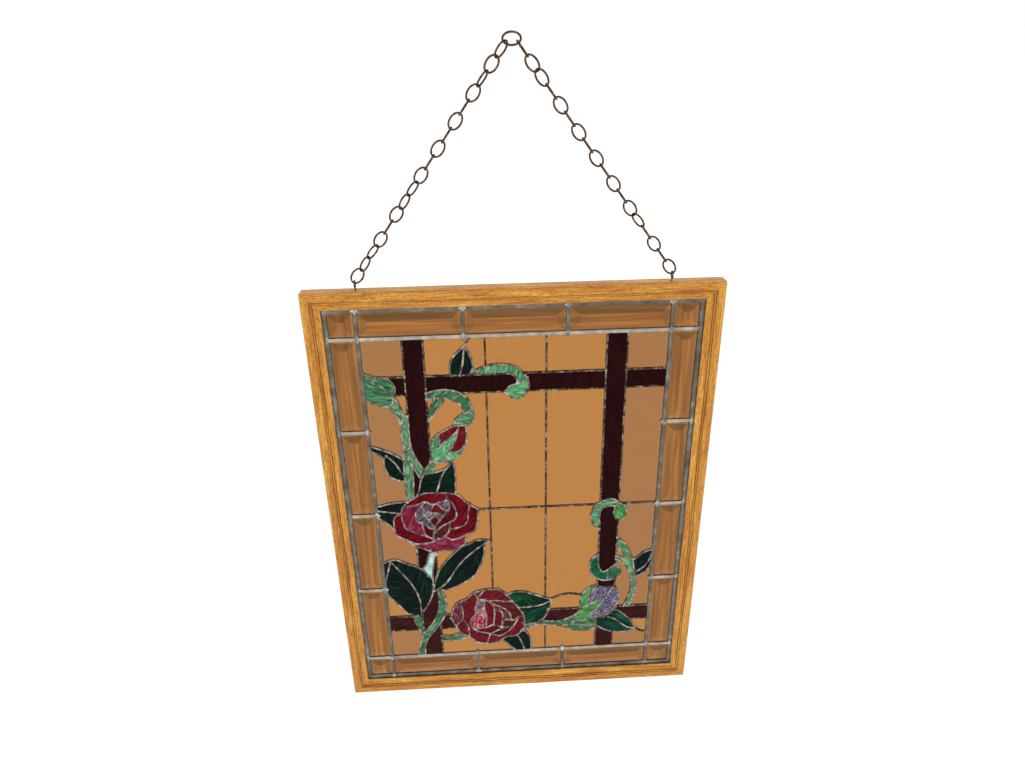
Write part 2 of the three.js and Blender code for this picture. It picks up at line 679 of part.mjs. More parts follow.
// The two curling tendrils round the right post
function curlSeams() {
  cut(367, 260, 356, 272, 352, 290, 359, 309, 376, 320, 390, 320, 398, 312);
  cut(367, 270, 366, 290, 371, 303, 384, 307, 392, 306);
  cut(392, 306, 390, 292, 395, 280, 404, 279, 411, 292, 409, 305, 400, 312);
  rib(392, 306, 400, 312);
  cut(367, 209, 356, 198, 353, 182, 360, 163, 376, 153, 392, 154, 404, 160, 407, 172, 398, 185);
  rib(367, 203, 369, 182, 376, 171, 386, 176, 398, 187);
  rib(384, 153, 385, 174);
}

// Each glass node by a point inside it
const PANES = {
  pane_top_left: [30, 585],
  pane_top_middle: [300, 585],
  pane_top_right: [430, 585],
  pane_left_upper: [20, 470],
  pane_left_middle: [25, 350],
  pane_left_lower: [30, 250],
  pane_left_strip: [10, 105],
  pane_loop: [115, 480],
  panes_centre: [250, 400],
  pane_right_inner: [410, 140],
  panes_right: [430, 400],
  pane_right_lower: [450, 120],
  pane_bottom_left: [20, 30],
  pane_bottom_middle: [120, 15],
  panes_bottom: [300, 20],
  pane_bottom_right: [430, 15],
};
const TRELLIS = {
  trellis_upper_left: [80, 580],
  trellis_upper_right: [382, 580],
  trellis_right_middle: [382, 240],
  trellis_right_foot: [382, 20],
  trellis_left_foot: [80, 30],
  trellis_bar_left: [20, 77],
  trellis_bar_right: [300, 80],
  trellis_bar_far_right: [440, 78],
};
const ROSES = { upper_rose: [100, 300], lower_rose: [180, 80] };
const LEAVES = {
  top_leaf: [148, 580],
  left_spray: [20, 535],
  lower_left_spray: [50, 150],
  lower_right_spray: [350, 110],
  right_spray: [445, 190],
};
const TENDRILS = { top_tendril: [240, 530] };

// The field's rectangle, drawn in by the given inset
const fieldOutline = (inset) => [
  [inset, inset],
  [FIELD_W - inset, inset],
  [FIELD_W - inset, FIELD_H - inset],
  [inset, FIELD_H - inset],
];

// Cut the field's plate along the through seams, and name each piece by its point
function addPicture() {
  trellisSeams();
  topTendrilSeams();
  leftStemSeams();
  rosebudSeams();
  upperRoseSeams();
  lowerRoseSeams();
  lowerLeftSeams();
  purpleBudSeams();
  rightSpraySeams();
  curlSeams();
  const plate = slab(fieldOutline(CAME_HEART / 2 + GAP), -GLASS / 2, GLASS / 2);
  const through = seams.filter((seam) => seam.through);
  const kerfs = through.map(({ line }) => slab(ribbon(line, SEAM_WIDTH + 2 * GAP), -GLASS, GLASS));
  const pieces = plate.subtract(wasm.Manifold.union(kerfs)).decompose();
  for (const [nodes, material] of [
    [PANES, plainGlass],
    [TRELLIS, trellisGlass],
    [ROSES, roseGlass],
    [LEAVES, leafGlass],
    [TENDRILS, tendrilGlass],
  ])
    for (const [name, spot] of Object.entries(nodes)) {
      const [u, v] = spot.map((place) => place * CARTOON_SCALE);
      const probe = slab([[u, v], [u + 1, v], [u + 1, v + 1], [u, v + 1]], -1, 1);
      const found = pieces.find((piece) => !piece.intersect(probe).isEmpty());
      addMesh(name, geometryOf(found), material);
    }
  addMesh("lead_and_solder", geometryOf(lattice()), lead);
}

// The border's cames and all the seams, soldered into one
function lattice() {
  const face = GLASS / 2 + GAP + SEAM_CROWN;
  const ribs = seams.map(({ line, through }) =>
    slab(ribbon(line, SEAM_WIDTH), -face, through ? face : -GLASS / 2 - GAP),
  );
  const toHearts = slab(fieldOutline(-CAME_HEART / 2), -2 * face, 2 * face);
  const joined = wasm.Manifold.union([...borderCames(), wasm.Manifold.union(ribs).intersect(toHearts)]);
  return joined.asOriginal().simplify(0.01);
}

addFrame();
addChain();
addBevels();
addPicture();

export default part;
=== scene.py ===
import math

import bmesh
import bpy
from mathutils import Matrix, Vector, noise
from mathutils.geometry import delaunay_2d_cdt


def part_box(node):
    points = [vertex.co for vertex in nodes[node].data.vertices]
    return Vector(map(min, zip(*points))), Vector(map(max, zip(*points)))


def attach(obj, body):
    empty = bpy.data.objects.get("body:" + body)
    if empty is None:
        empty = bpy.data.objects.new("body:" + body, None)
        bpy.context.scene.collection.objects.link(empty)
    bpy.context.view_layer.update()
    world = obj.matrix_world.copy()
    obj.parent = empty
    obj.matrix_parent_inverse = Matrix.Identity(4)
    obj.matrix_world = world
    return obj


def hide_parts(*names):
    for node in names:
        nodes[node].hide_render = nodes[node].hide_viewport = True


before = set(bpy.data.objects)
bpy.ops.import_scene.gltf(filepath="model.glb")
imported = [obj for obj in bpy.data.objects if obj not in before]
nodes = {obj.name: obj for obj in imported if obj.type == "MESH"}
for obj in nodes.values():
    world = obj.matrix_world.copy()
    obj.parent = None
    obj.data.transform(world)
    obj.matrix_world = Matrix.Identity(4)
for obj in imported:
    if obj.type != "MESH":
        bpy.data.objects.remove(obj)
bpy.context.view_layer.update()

MM = 0.001
GAP = 0.3
GLASS = 3.2
CAME_WIDTH = 6.0
EDGE_CAME_WIDTH = 10.0
CAME_FACE = 3.2
BORDER = 45.0
SEAM_WIDTH = 3.2
SEAM_CROWN = 1.1
SEAM_REACH = 2.0
RAIL_WIDTH = 27.0
FRAME_DEPTH = 24.0
PANEL_EDGE = 50.0
SIGHT_EDGE = 47.0
LIP = 8.1
EYE_RADIUS = 5.0
EYE_WIRE = 2.2
LINK_LENGTH = 25.9
LINK_WIDTH = 18.0
LINK_WIRE = 2.8
LINK_PITCH = 20.8
LINK_HALF = (LINK_LENGTH - LINK_WIRE) / 2
LINK_SIDE = (LINK_WIDTH - LINK_WIRE) / 2
SETTLING_TURNS = 8
EYE_X = 226.0

# The camera: the photo's width and its focal length in pixels, and the sensor's width
PHOTO_WIDTH = 1025
FOCAL_LENGTH = 740
SENSOR_WIDTH = 36.0

PITCH = 154.0
COLUMNS = 3
ROWS = 4
FIELD_W = COLUMNS * PITCH
FIELD_H = ROWS * PITCH

# Trellis: two posts, two bars, and the foil lines of the plain panes behind
POST_LEFT = (63.5, 94.0)
LOW_POST_LEFT = (60.5, 91.5)
POST_RIGHT = (367.0, 398.0)
TOP_BAR = (524.0, 553.5)
LOW_BAR = (61.5, 92.5)
PANE_LINES = (185.0, 276.5)
MIDDLE_LINE = 311.0

seams = []


def seam(*numbers):
    """A soldered seam of the picture: straight through two points, smooth through more."""
    points = [Vector(pair) for pair in zip(numbers[::2], numbers[1::2])]
    seams.append(points if len(points) == 2 else smooth(points))


def smooth(points, spacing=3.0):
    """A Catmull-Rom curve through the points, sampled about every few millimetres."""
    ends = [points[0] * 2 - points[1]] + points + [points[-1] * 2 - points[-2]]
    line = [points[0]]
    for a, b, c, d in zip(ends, ends[1:], ends[2:], ends[3:]):
        steps = max(2, round((c - b).length / spacing))
        for i in range(1, steps + 1):
            t = i / steps
            line.append(
                0.5
                * (
                    2 * b
                    + (c - a) * t
                    + (2 * a - 5 * b + 4 * c - d) * t**2
                    + (3 * b - a - 3 * c + d) * t**3
                )
            )
    return line


def trellis_seams():
    left, left_end = POST_LEFT
    low_left, low_left_end = LOW_POST_LEFT
    right, right_end = POST_RIGHT
    low, high = TOP_BAR
    foot, head = LOW_BAR
    for post in (left, left_end, right, right_end):
        seam(post, FIELD_H, post, low)
    seam(left, low, left, 489)
    seam(left_end, low, left_end, 411)
    for start, end in ((33, left), (left_end, 223), (242, right), (right_end, FIELD_W)):
        seam(start, high, end, high)
    for start, end in ((47, left), (142, 213), (246, right), (right_end, FIELD_W)):
        seam(start, low, end, low)
    for start, end in ((low, 313), (272, 204), (158, 139), (48, 0)):
        seam(right, start, right, end)
    for start, end in ((low, 310), (280, 184), (158, 138), (35, 0)):
        seam(right_end, start, right_end, end)
    for start, end in ((0, 45), (98, 113), (280, 339), (403, FIELD_W)):
        seam(start, head, end, head)
    for start, end in ((0, 54), (low_left_end, 120)):
        seam(start, foot, end, foot)
    seam(427, 63, FIELD_W, 63)
    seam(low_left, 243, low_left, 197)
    seam(low_left_end, 229, low_left_end, 181)
    seam(low_left, 100, low_left, 54)
    seam(low_left_end, 72, low_left_end, 0)
    seam(right, 138.5, right_end, 138.5)
    first, second = PANE_LINES
    for line, start, end in (
        (first, FIELD_H, 568),
        (first, low, 145),
        (second, FIELD_H, high),
        (second, low, 121),
        (second, 57, 0),
    ):
        seam(line, start, line, end)
    seam(165, MIDDLE_LINE, 360, MIDDLE_LINE)
    seam(402, MIDDLE_LINE, FIELD_W, MIDDLE_LINE)
    seam(286, 116, 300, 122, 318, 126, 340, 122)
    seam(440, 40, 449, 33, FIELD_W, 29)


def top_tendril_seams():
    seam(133, 553.5, 131, 566, 137, 583, 154, 600)
    seam(160, 553.5, 166, 566, 162, 586, 154, 600)
    seam(146, 553.5, 151, 572, 154, 600)
    seam(154, 600, 165, FIELD_H)
    seam(163, 557, 182, 566, 205, 569.5, 228, 565, 245, 550, 250, 533, 245, 518, 229, 511, 213, 523)
    seam(223, 553.5, 231, 546, 232, 537, 221, 533, 213, 523)
    seam(232, 537, 241, 539, 248, 546)


def left_stem_seams():
    seam(0, 563, 15, 556, 36, 553, 44, 545, 48, 533, 44, 520)
    seam(0, 520, 12, 512, 24, 507, 35, 505)
    seam(44, 520, 42, 511, 35, 505)
    seam(13, 557, 15, 546, 30, 537, 41, 522)
    seam(44, 520, 50, 512, 57, 490)
    seam(35, 505, 43, 494, 50, 482, 52, 465, 52, 445, 55, 432)
    seam(42, 496, 53, 499)
    seam(57, 490, 54, 478, 52, 465)
    seam(57, 490, 63.5, 489)
    seam(63.5, 489, 63.5, 440)
    seam(55, 432, 60, 413)
    seam(60, 413, 68, 392, 76, 373)
    seam(63.5, 440, 68, 420, 76, 402, 82, 390)
    seam(82, 390, 80, 380, 76, 373)
    seam(55, 432, 62, 431, 64, 438)
    seam(55, 432, 52, 422, 51, 412)
    seam(51, 411, 51, 371)
    seam(51, 370, 51, 350, 52, 332)
    seam(60, 413, 63.5, 395, 64, 370, 62, 338)
    seam(0, 438, 20, 430, 37, 421, 51, 411)
    seam(0, 430, 12, 423, 20, 414, 21, 398, 30, 379, 51, 370)
    seam(20, 414, 25, 419)
    seam(25, 419, 37, 406, 45, 391, 51, 383)
    seam(76, 373, 73, 358, 69, 344)


def rosebud_seams():
    seam(80, 384, 95, 385)
    seam(95, 385, 105, 387, 117, 392, 122, 398, 127, 405)
    seam(127, 405, 130, 395, 131, 370, 130, 344)
    seam(117, 392, 109, 377, 103, 358, 99, 346)
    seam(95, 412, 89, 398, 82, 390)
    seam(101, 404, 98, 392, 95, 385)
    seam(95, 412, 94, 425, 97, 441, 106, 453, 120, 461, 134, 469)
    seam(152, 468, 152, 447, 148, 430, 140, 415, 128, 406)
    seam(128, 406, 115, 404, 101, 404)
    seam(101, 404, 95, 412)
    seam(94, 428, 108, 434, 109, 455)
    seam(108, 434, 124, 446, 137, 457, 136, 448, 130, 433, 120, 417, 115, 404)
    seam(113, 407, 124, 420, 140, 424, 152, 440)
    seam(137, 457, 141, 468)
    seam(134, 469, 136, 479, 146, 487, 155, 489)
    seam(162, 497, 165, 484, 161, 474, 152, 467)
    seam(134, 469, 152, 468)
    seam(155, 489, 162, 497)
    seam(94, 526, 110, 530, 128, 530, 145, 524, 158, 511, 162, 497)
    seam(94, 516, 106, 517, 112, 517)
    seam(122, 516, 130, 514, 145, 504, 150, 489)
    seam(122, 516, 112, 501, 98, 482, 94, 478)
    seam(106, 517, 101, 505, 94, 490)


def upper_rose_seams():
    seam(52, 332, 64, 340, 80, 347, 99, 347, 130, 343, 146, 327, 165, 312)
    seam(165, 312, 164, 292, 158, 270, 142, 261, 141, 244, 118, 231)
    seam(118, 231, 104, 232, 88, 228, 75, 236, 58, 244, 45, 257, 31, 264)
    seam(31, 264, 28, 272, 26, 281)
    seam(26, 281, 28, 302, 39, 310, 43, 321, 52, 332)
    seam(43, 320, 51, 323, 64, 325, 78, 331, 85, 328, 93, 325, 103, 329, 114, 332, 115, 346)
    seam(114, 332, 122, 329, 127, 318, 130, 304, 126, 294, 118, 289, 104, 281, 91, 269)
    seam(152, 323, 149, 306, 146, 288, 134, 278, 117, 275)
    seam(39, 310, 42, 292, 46, 279, 62, 270, 80, 262)
    seam(45, 257, 58, 249, 76, 248, 88, 251, 97, 257)
    seam(108, 261, 119, 254, 129, 255, 142, 261)
    seam(72, 290, 74, 276, 77, 265, 85, 259, 93, 255, 101, 256, 107, 260, 114, 268, 117, 276, 118, 289)
    seam(79, 330, 70, 319, 64, 312, 63, 302, 66, 292, 77, 287, 84, 279, 92, 277)
    seam(92, 281, 92, 277, 91, 269, 89, 258)
    heart = [(84, 295), (94, 303), (102, 294), (92, 281)]
    for start, end in zip(heart, heart[1:] + heart[:1]):
        seam(*start, *end)
    seam(102, 294, 108, 302, 116, 310)
    seam(77, 305, 86, 311, 88, 308, 100, 308, 108, 302)
    seam(77, 305, 84, 295)
    seam(88, 308, 89, 316, 97, 326, 107, 316, 116, 310)
    seam(117, 331, 119, 320, 116, 310)
    seam(0, 324, 15, 328, 32, 331, 52, 332)
    seam(0, 317, 17, 314, 39, 310)
    seam(0, 304, 10, 297, 26, 281)


def lower_rose_seams():
    seam(110, 84, 113, 101, 122, 117, 138, 125, 152, 138, 172, 144, 194, 144)
    seam(194, 144, 203, 137, 209, 130)
    seam(209, 130, 219, 116, 230, 99, 238, 82, 240, 64)
    seam(240, 64, 239, 57, 236, 50)
    seam(236, 50, 229, 41, 221, 36, 206, 35, 199, 28)
    seam(199, 28, 190, 24, 172, 21, 152, 26)
    seam(152, 26, 141, 40, 128, 47, 118, 65, 110, 84)
    seam(118, 67, 130, 80, 131, 98, 128, 120)
    seam(130, 80, 139, 65, 141, 40)
    seam(152, 138, 158, 124, 153, 104, 154, 92, 145, 78, 145, 62, 156, 51)
    seam(156, 51, 178, 44, 194, 38, 207, 45, 222, 63, 229, 79)
    seam(170, 143, 158, 124, 170, 122, 184, 112, 203, 101, 214, 88, 217, 73, 229, 79)
    seam(176, 119, 190, 119, 205, 116, 219, 116)
    seam(154, 96, 164, 99, 170, 110, 170, 122)
    seam(168, 104, 172, 86, 171, 59)
    seam(229, 79, 238, 82)
    seam(178, 44, 172, 21)
    seam(184, 112, 187, 92, 184, 64)
    seam(187, 96, 199, 93, 201, 76, 199, 59)
    seam(178, 44, 190, 50, 203, 58)
    seam(200, 72, 208, 75, 218, 73)
    seam(150, 57, 171, 59, 184, 64, 200, 58, 218, 58)
    seam(209, 130, 222, 136, 240, 135, 258, 128, 286, 116)
    seam(229, 101, 248, 101, 268, 104, 286, 113)
    seam(236, 66, 250, 61, 264, 66, 276, 78, 283, 94)
    seam(286, 116, 286, 105, 283, 94)
    seam(283, 94, 280, 84, 271, 69)
    seam(240, 60, 252, 64, 264, 62, 271, 69)
    seam(199, 28, 210, 17, 224, 0)
    seam(226, 38, 233, 23, 240, 0)
    seam(236, 50, 246, 38, 251, 20, 251, 0)


def lower_left_seams():
    seam(58, 92.5, 35, 101, 24.5, 115, 4, 142, 0, 150)
    seam(3, 146, 2, 165, 5, 180, 14, 213)
    seam(62, 103, 70, 115, 79, 135, 83, 147)
    seam(83, 147, 83, 171, 76, 180)
    seam(58, 92.5, 62, 103)
    seam(83, 147, 95, 149)
    seam(76, 180, 64, 196, 42, 207, 22, 217, 0, 210)
    seam(59, 96, 58, 128, 49, 158, 33, 186, 14, 214)
    seam(83, 150, 93, 186, 113, 216, 138, 241)
    seam(138, 241, 150, 244, 158, 249, 170, 250, 181, 248)
    seam(95, 149, 105, 148, 125, 156, 154, 176, 170, 210, 174, 238, 181, 248)
    seam(84, 147, 105, 162, 129, 200, 153, 226, 181, 248)
    seam(82, 233, 74, 205, 68, 196, 76, 180)
    seam(92, 226, 87, 208, 84, 186, 83, 162)
    seam(95, 148, 102, 132, 103, 108, 97, 86, 83, 62, 68, 42, 61, 22, 60, 0)
    seam(91, 149, 91, 120, 87, 97, 76, 73, 62, 56)
    seam(62, 56, 56, 40, 51, 20, 48, 0)
    seam(45, 92.5, 49, 72, 57, 53)
    seam(57, 53, 61, 54)
    seam(45, 92.5, 58, 92)
    seam(91.5, 45, 108, 43, 127, 49)
    seam(91.5, 33, 110, 32, 125, 35, 141, 40)
    seam(271, 68, 288, 66, 308, 67, 330, 78)
    seam(236, 50, 251, 56, 266, 61)
    seam(266, 61, 285, 57, 306, 54)
    seam(306, 54, 322, 46, 342, 40, 367, 45)
    seam(331, 66, 324, 58, 345, 53, 367, 52)
    seam(306, 54, 324, 58)


def purple_bud_seams():
    seam(367, 143, 351, 135, 341, 122, 338, 106, 339, 92, 330, 78)
    seam(366.5, 142, 357, 126, 353, 112, 352, 99, 346, 90, 339, 92)
    seam(330, 78, 334, 67, 345, 63, 354, 70, 380, 70)
    seam(352, 99, 364, 105, 382, 116)
    seam(354, 70, 362, 84, 374, 99, 382, 116)
    seam(357, 126, 367, 136)
    seam(398, 138, 405, 124, 406, 108, 399, 90, 388, 76)
    seam(388, 76, 380, 70)
    seam(382, 116, 392, 130, 398, 138)
    seam(362, 84, 372, 77, 384, 74)
    seam(388, 76, 400, 86, 415, 76, 429, 60, 440, 40)
    seam(403, 92.5, 400, 86)
    seam(380, 70, 396, 67, 411, 55, 425, 43, 440, 40)
    seam(367, 72, 367, 52)
    seam(367, 52, 367, 45)
    seam(367, 52, 374, 46, 388, 38, 404, 34, 424, 33, 440, 40)


def right_spray_seams():
    seam(398, 242, 410, 231, 420, 214, 427, 195)
    seam(398, 228, 407, 213, 417, 196)
    seam(398, 204, 409, 200, 417, 196)
    seam(398, 197, 411, 188, 421, 172, 426, 150, 425, 122, 416, 92.5)
    seam(431, 172, 435, 145, 433, 118, 425, 92.5)
    seam(427, 195, 431, 172)
    seam(427, 195, 434, 198, 446, 209, FIELD_W, 215)
    seam(432, 166, 446, 177, 456, 193, FIELD_W, 214)
    seam(433, 157, 440, 160, 448, 166, 456, 176, FIELD_W, 196)


def curl_seams():
    seam(367, 260, 356, 272, 352, 290, 359, 309, 376, 320, 390, 320, 398, 312)
    seam(367, 270, 366, 290, 371, 303, 384, 307, 392, 306)
    seam(392, 306, 390, 292, 395, 280, 404, 279, 411, 292, 409, 305, 400, 312)
    seam(392, 306, 400, 312)
    seam(367, 209, 356, 198, 353, 182, 360, 163, 376, 153, 392, 154, 404, 160, 407, 172, 398, 185)
    seam(367, 203, 369, 182, 376, 171, 386, 176, 398, 187)
    seam(384, 153, 385, 174)


top_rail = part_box("rail_top")
bottom_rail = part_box("rail_bottom")
FRAME_TOP = top_rail[1][2] / MM
FRAME_BOTTOM = bottom_rail[0][2] / MM
FRAME_W = FIELD_W + 2 * (SIGHT_EDGE + RAIL_WIDTH)
FRAME_H = FIELD_H + 2 * (SIGHT_EDGE + RAIL_WIDTH)
FRAME_FRONT = -FRAME_DEPTH / 2
FIELD_LEFT = -FIELD_W / 2
FIELD_BOTTOM = FRAME_BOTTOM + RAIL_WIDTH + SIGHT_EDGE
PANEL_Y = FRAME_FRONT + LIP + GAP + CAME_FACE


def at(u, v, y=0.0):
    """A point of the panel, in metres: u and v in the field, y behind the glass's middle."""
    return Vector((FIELD_LEFT + u, PANEL_Y + y, FIELD_BOTTOM + v)) * MM


def linear(red, green, blue):
    """A colour given in 0 to 255 screen values, as linear light."""
    return tuple(
        c / 12.92 if c <= 0.04045 else ((c + 0.055) / 1.055) ** 2.4
        for c in (red / 255, green / 255, blue / 255)
    ) + (1.0,)


class Value:
    """A number or colour that changes over a surface, with arithmetic on its socket."""

    def __init__(self, tree, socket):
        self.tree = tree
        self.socket = socket

    def node(self, kind, sockets, output=0, **settings):
        node = self.tree.nodes.new(kind)
        for name, value in settings.items():
            if name == "stops":
                ramp = node.color_ramp
                while len(ramp.elements) < len(value):
                    ramp.elements.new(1.0)
                for element, (place, colour) in zip(ramp.elements, value):
                    element.position = place
                    element.color = colour
            else:
                setattr(node, name, value)
        for name, value in sockets.items():
            if isinstance(value, Value):
                self.tree.links.new(value.socket, node.inputs[name])
            else:
                node.inputs[name].default_value = value
        return Value(self.tree, node.outputs[output])

    def math(self, operation, first, second):
        return self.node("ShaderNodeMath", {0: first, 1: second}, operation=operation)

    def __add__(self, other):
        return self.math("ADD", self, other)

    def __sub__(self, other):
        return self.math("SUBTRACT", self, other)

    def __mul__(self, other):
        return self.math("MULTIPLY", self, other)

    def ramp(self, *stops):
        return self.node("ShaderNodeValToRGB", {0: self}, stops=stops)

    def step(self, low, high):
        """0 below low, 1 above high, with a straight rise between."""
        return self.node("ShaderNodeMapRange", {0: self, 1: low, 2: high, 3: 0.0, 4: 1.0})

    def tint(self, colour, amount):
        """This colour turned towards another by the amount."""
        return self.node(
            "ShaderNodeMix", {0: amount, 6: self, 7: colour}, output=2, data_type="RGBA"
        )

    def noise(self, scale, detail=3.0, roughness=0.55, distortion=0.0):
        return self.node(
            "ShaderNodeTexNoise",
            {
                "Vector": self,
                "Scale": scale,
                "Detail": detail,
                "Roughness": roughness,
                "Distortion": distortion,
            },
        )

    def stretched(self, x, y, z):
        return self.node("ShaderNodeMapping", {"Vector": self, "Scale": (x, y, z)})


class Finish:
    """A material: its fixed values are set on the shader, and what varies is linked to it."""

    def __init__(self, name, **fixed):
        self.material = bpy.data.materials.new(name)
        self.material.use_nodes = True
        tree = self.material.node_tree
        self.shader = tree.nodes["Principled BSDF"]
        for socket, value in fixed.items():
            self.shader.inputs[socket.replace("_", " ")].default_value = value
        blank = Value(tree, None)
        self.place = blank.node("ShaderNodeTexCoord", {}, output=3)
        self.sheet = blank.node("ShaderNodeTexCoord", {}, output=2)
        self.tree = tree

    def facing(self):
        """The surface's own direction along X, Y and Z."""
        normal = self.place.node("ShaderNodeTexCoord", {}, output=1)
        return [normal.node("ShaderNodeSeparateXYZ", {0: normal}, output=i) for i in range(3)]

    def varies(self, **links):
        for socket, value in links.items():
            self.tree.links.new(value.socket, self.shader.inputs[socket.replace("_", " ")])

    def bump(self, height, distance, strength=1.0):
        raised = height.node(
            "ShaderNodeBump", {"Height": height, "Distance": distance, "Strength": strength}
        )
        self.varies(Normal=raised)


def oak(name, along):
    """Honey-varnished oak with its grain along the rail."""
    wood = Finish(name, IOR=1.5, Specular_IOR_Level=0.25, Coat_Roughness=0.25)
    sizes = {"X": (1.0, 14.0, 14.0), "Z": (14.0, 14.0, 1.0)}[along]
    flow = wood.place.stretched(*sizes)
    broad = flow.noise(7.0, 4.0, 0.6, 1.2)
    figure = flow.noise(26.0, 6.0, 0.65, 0.8)
    pores = wood.place.stretched(*(20.0 * s if s > 1 else 18.0 for s in sizes)).noise(9.0, 2.0, 0.5)
    tone = broad * 0.55 + figure * 0.5
    colour = tone.ramp(
        (0.30, linear(128, 66, 8)),
        (0.44, linear(176, 106, 26)),
        (0.56, linear(204, 142, 46)),
        (0.70, linear(226, 176, 84)),
    )
    lines = pores.step(0.54, 0.63)
    colour = colour.tint(linear(112, 58, 12), lines * 0.75)
    stain = wood.place.noise(9.0, 3.0, 0.6).step(0.60, 0.78)
    colour = colour.tint(linear(128, 72, 28), stain * 0.45)
    wood.varies(Base_Color=colour, Roughness=figure * 0.25 + 0.30, Coat_Weight=stain * -0.1 + 0.2)
    wood.bump(figure * 0.5 - lines * 0.6, 0.0006, 0.7)
    return wood.material


def antique_bronze():
    metal = Finish("antique_bronze", Metallic=1.0, IOR=1.5)
    wear = metal.place.noise(260.0, 3.0, 0.6)
    rub = metal.place.noise(900.0, 2.0, 0.5)
    colour = wear.ramp(
        (0.35, linear(52, 36, 24)), (0.55, linear(92, 68, 46)), (0.75, linear(150, 118, 84))
    )
    metal.varies(Base_Color=colour, Roughness=rub * 0.3 + 0.25)
    metal.bump(rub, 0.0001, 0.4)
    return metal.material


def zinc_came(name, *tones):
    metal = Finish(name, Metallic=0.85, IOR=1.5)
    cloud = metal.place.noise(60.0, 4.0, 0.6)
    fine = metal.place.noise(700.0, 3.0, 0.6)
    places = (0.30, 0.52, 0.72)
    colour = (cloud * 0.7 + fine * 0.3).ramp(*[(p, linear(*tone)) for p, tone in zip(places, tones)])
    metal.varies(Base_Color=colour, Roughness=cloud * 0.3 + 0.24)
    metal.bump(fine, 0.00012, 0.5)
    return metal.material


def solder(name, dark, middle, bright):
    """Tinned and patinated solder, bright on its bumps and dark between."""
    metal = Finish(name, Metallic=0.95, IOR=1.5)
    patch = metal.place.noise(120.0, 3.0, 0.6)
    fine = metal.place.noise(520.0, 3.0, 0.6)
    tone = patch * 0.6 + fine * 0.4
    colour = tone.ramp((0.36, linear(*dark)), (0.50, linear(*middle)), (0.64, linear(*bright)))
    metal.varies(Base_Color=colour, Roughness=fine * 0.4 + 0.12)
    metal.bump(fine + patch, 0.0005, 0.9)
    return metal.material


def clear_glass(name, colour):
    """See-through tinted glass: its tint and clearness are plain values on the shader."""
    glass = Finish(name, Roughness=0.04, IOR=1.3, Transmission_Weight=1.0, Base_Color=colour)
    wave = glass.sheet.noise(14.0, 2.0, 0.5)
    glass.bump(wave, 0.0002, 0.6)
    return glass.material


def bevel_glass(name, along):
    """Clear glass with light and shade painted in: lengthwise streaks for the surroundings seen through it,
    side slopes and slopes that face up painted darker, slopes that face down painted lighter than the flat
    middle.
    """
    glass = Finish(name, Roughness=0.04, IOR=1.3, Transmission_Weight=1.0)
    sizes = {"X": (0.5, 12.0, 12.0), "Z": (12.0, 12.0, 0.5)}[along]
    # Painted reflection: streaks along the bevel stand in for the surroundings and shadows seen bent through
    # its glass
    streak = glass.place.stretched(*sizes).noise(16.0, 2.0, 0.5)
    colour = streak.ramp(
        (0.32, linear(122, 75, 28)), (0.50, linear(148, 94, 38)), (0.68, linear(176, 118, 56))
    )
    sideways, _, upward = glass.facing()
    # Painted shade on the side slopes of the bevel
    edge = sideways.math("ABSOLUTE", sideways, 0.0).step(*SLOPE)
    colour = colour.tint(linear(108, 76, 40), edge * 0.6)
    # Painted shade on slopes that face up, and painted light on slopes that face down
    colour = colour.tint(linear(84, 60, 32), upward.step(*SLOPE))
    colour = colour.tint(linear(168, 114, 58), (upward * -1.0).step(*SLOPE) * 0.5)
    glass.varies(Base_Color=colour)
    return glass.material


def art_glass(name, colours, streaks, spread=6.0, swirl=1.5, glitter=0.0):
    """Streaky coloured glass: colours run from dark to light along each piece's own direction."""
    glass = Finish(name, IOR=1.52, Specular_IOR_Level=0.04)
    flow = glass.sheet.stretched(1.0, spread, 1.0)
    streak = flow.noise(streaks, 2.0, 0.45, swirl)
    stops = [
        (0.30 + 0.42 * i / (len(colours) - 1), linear(*colour)) for i, colour in enumerate(colours)
    ]
    colour = streak.ramp(*stops)
    fine = glass.sheet.noise(420.0, 2.0, 0.6)
    if glitter:
        colour = colour.tint(linear(235, 228, 245), fine.step(0.58, 0.70) * glitter)
    glass.varies(Base_Color=colour, Roughness=streak * 0.2 + 0.06)
    glass.bump(streak + fine * 0.25, 0.0006 if not glitter else 0.0012, 0.6)
    return glass.material


# Where a bevel's slope begins, in the sideways part of its direction
SLOPE = (0.02, 0.04)

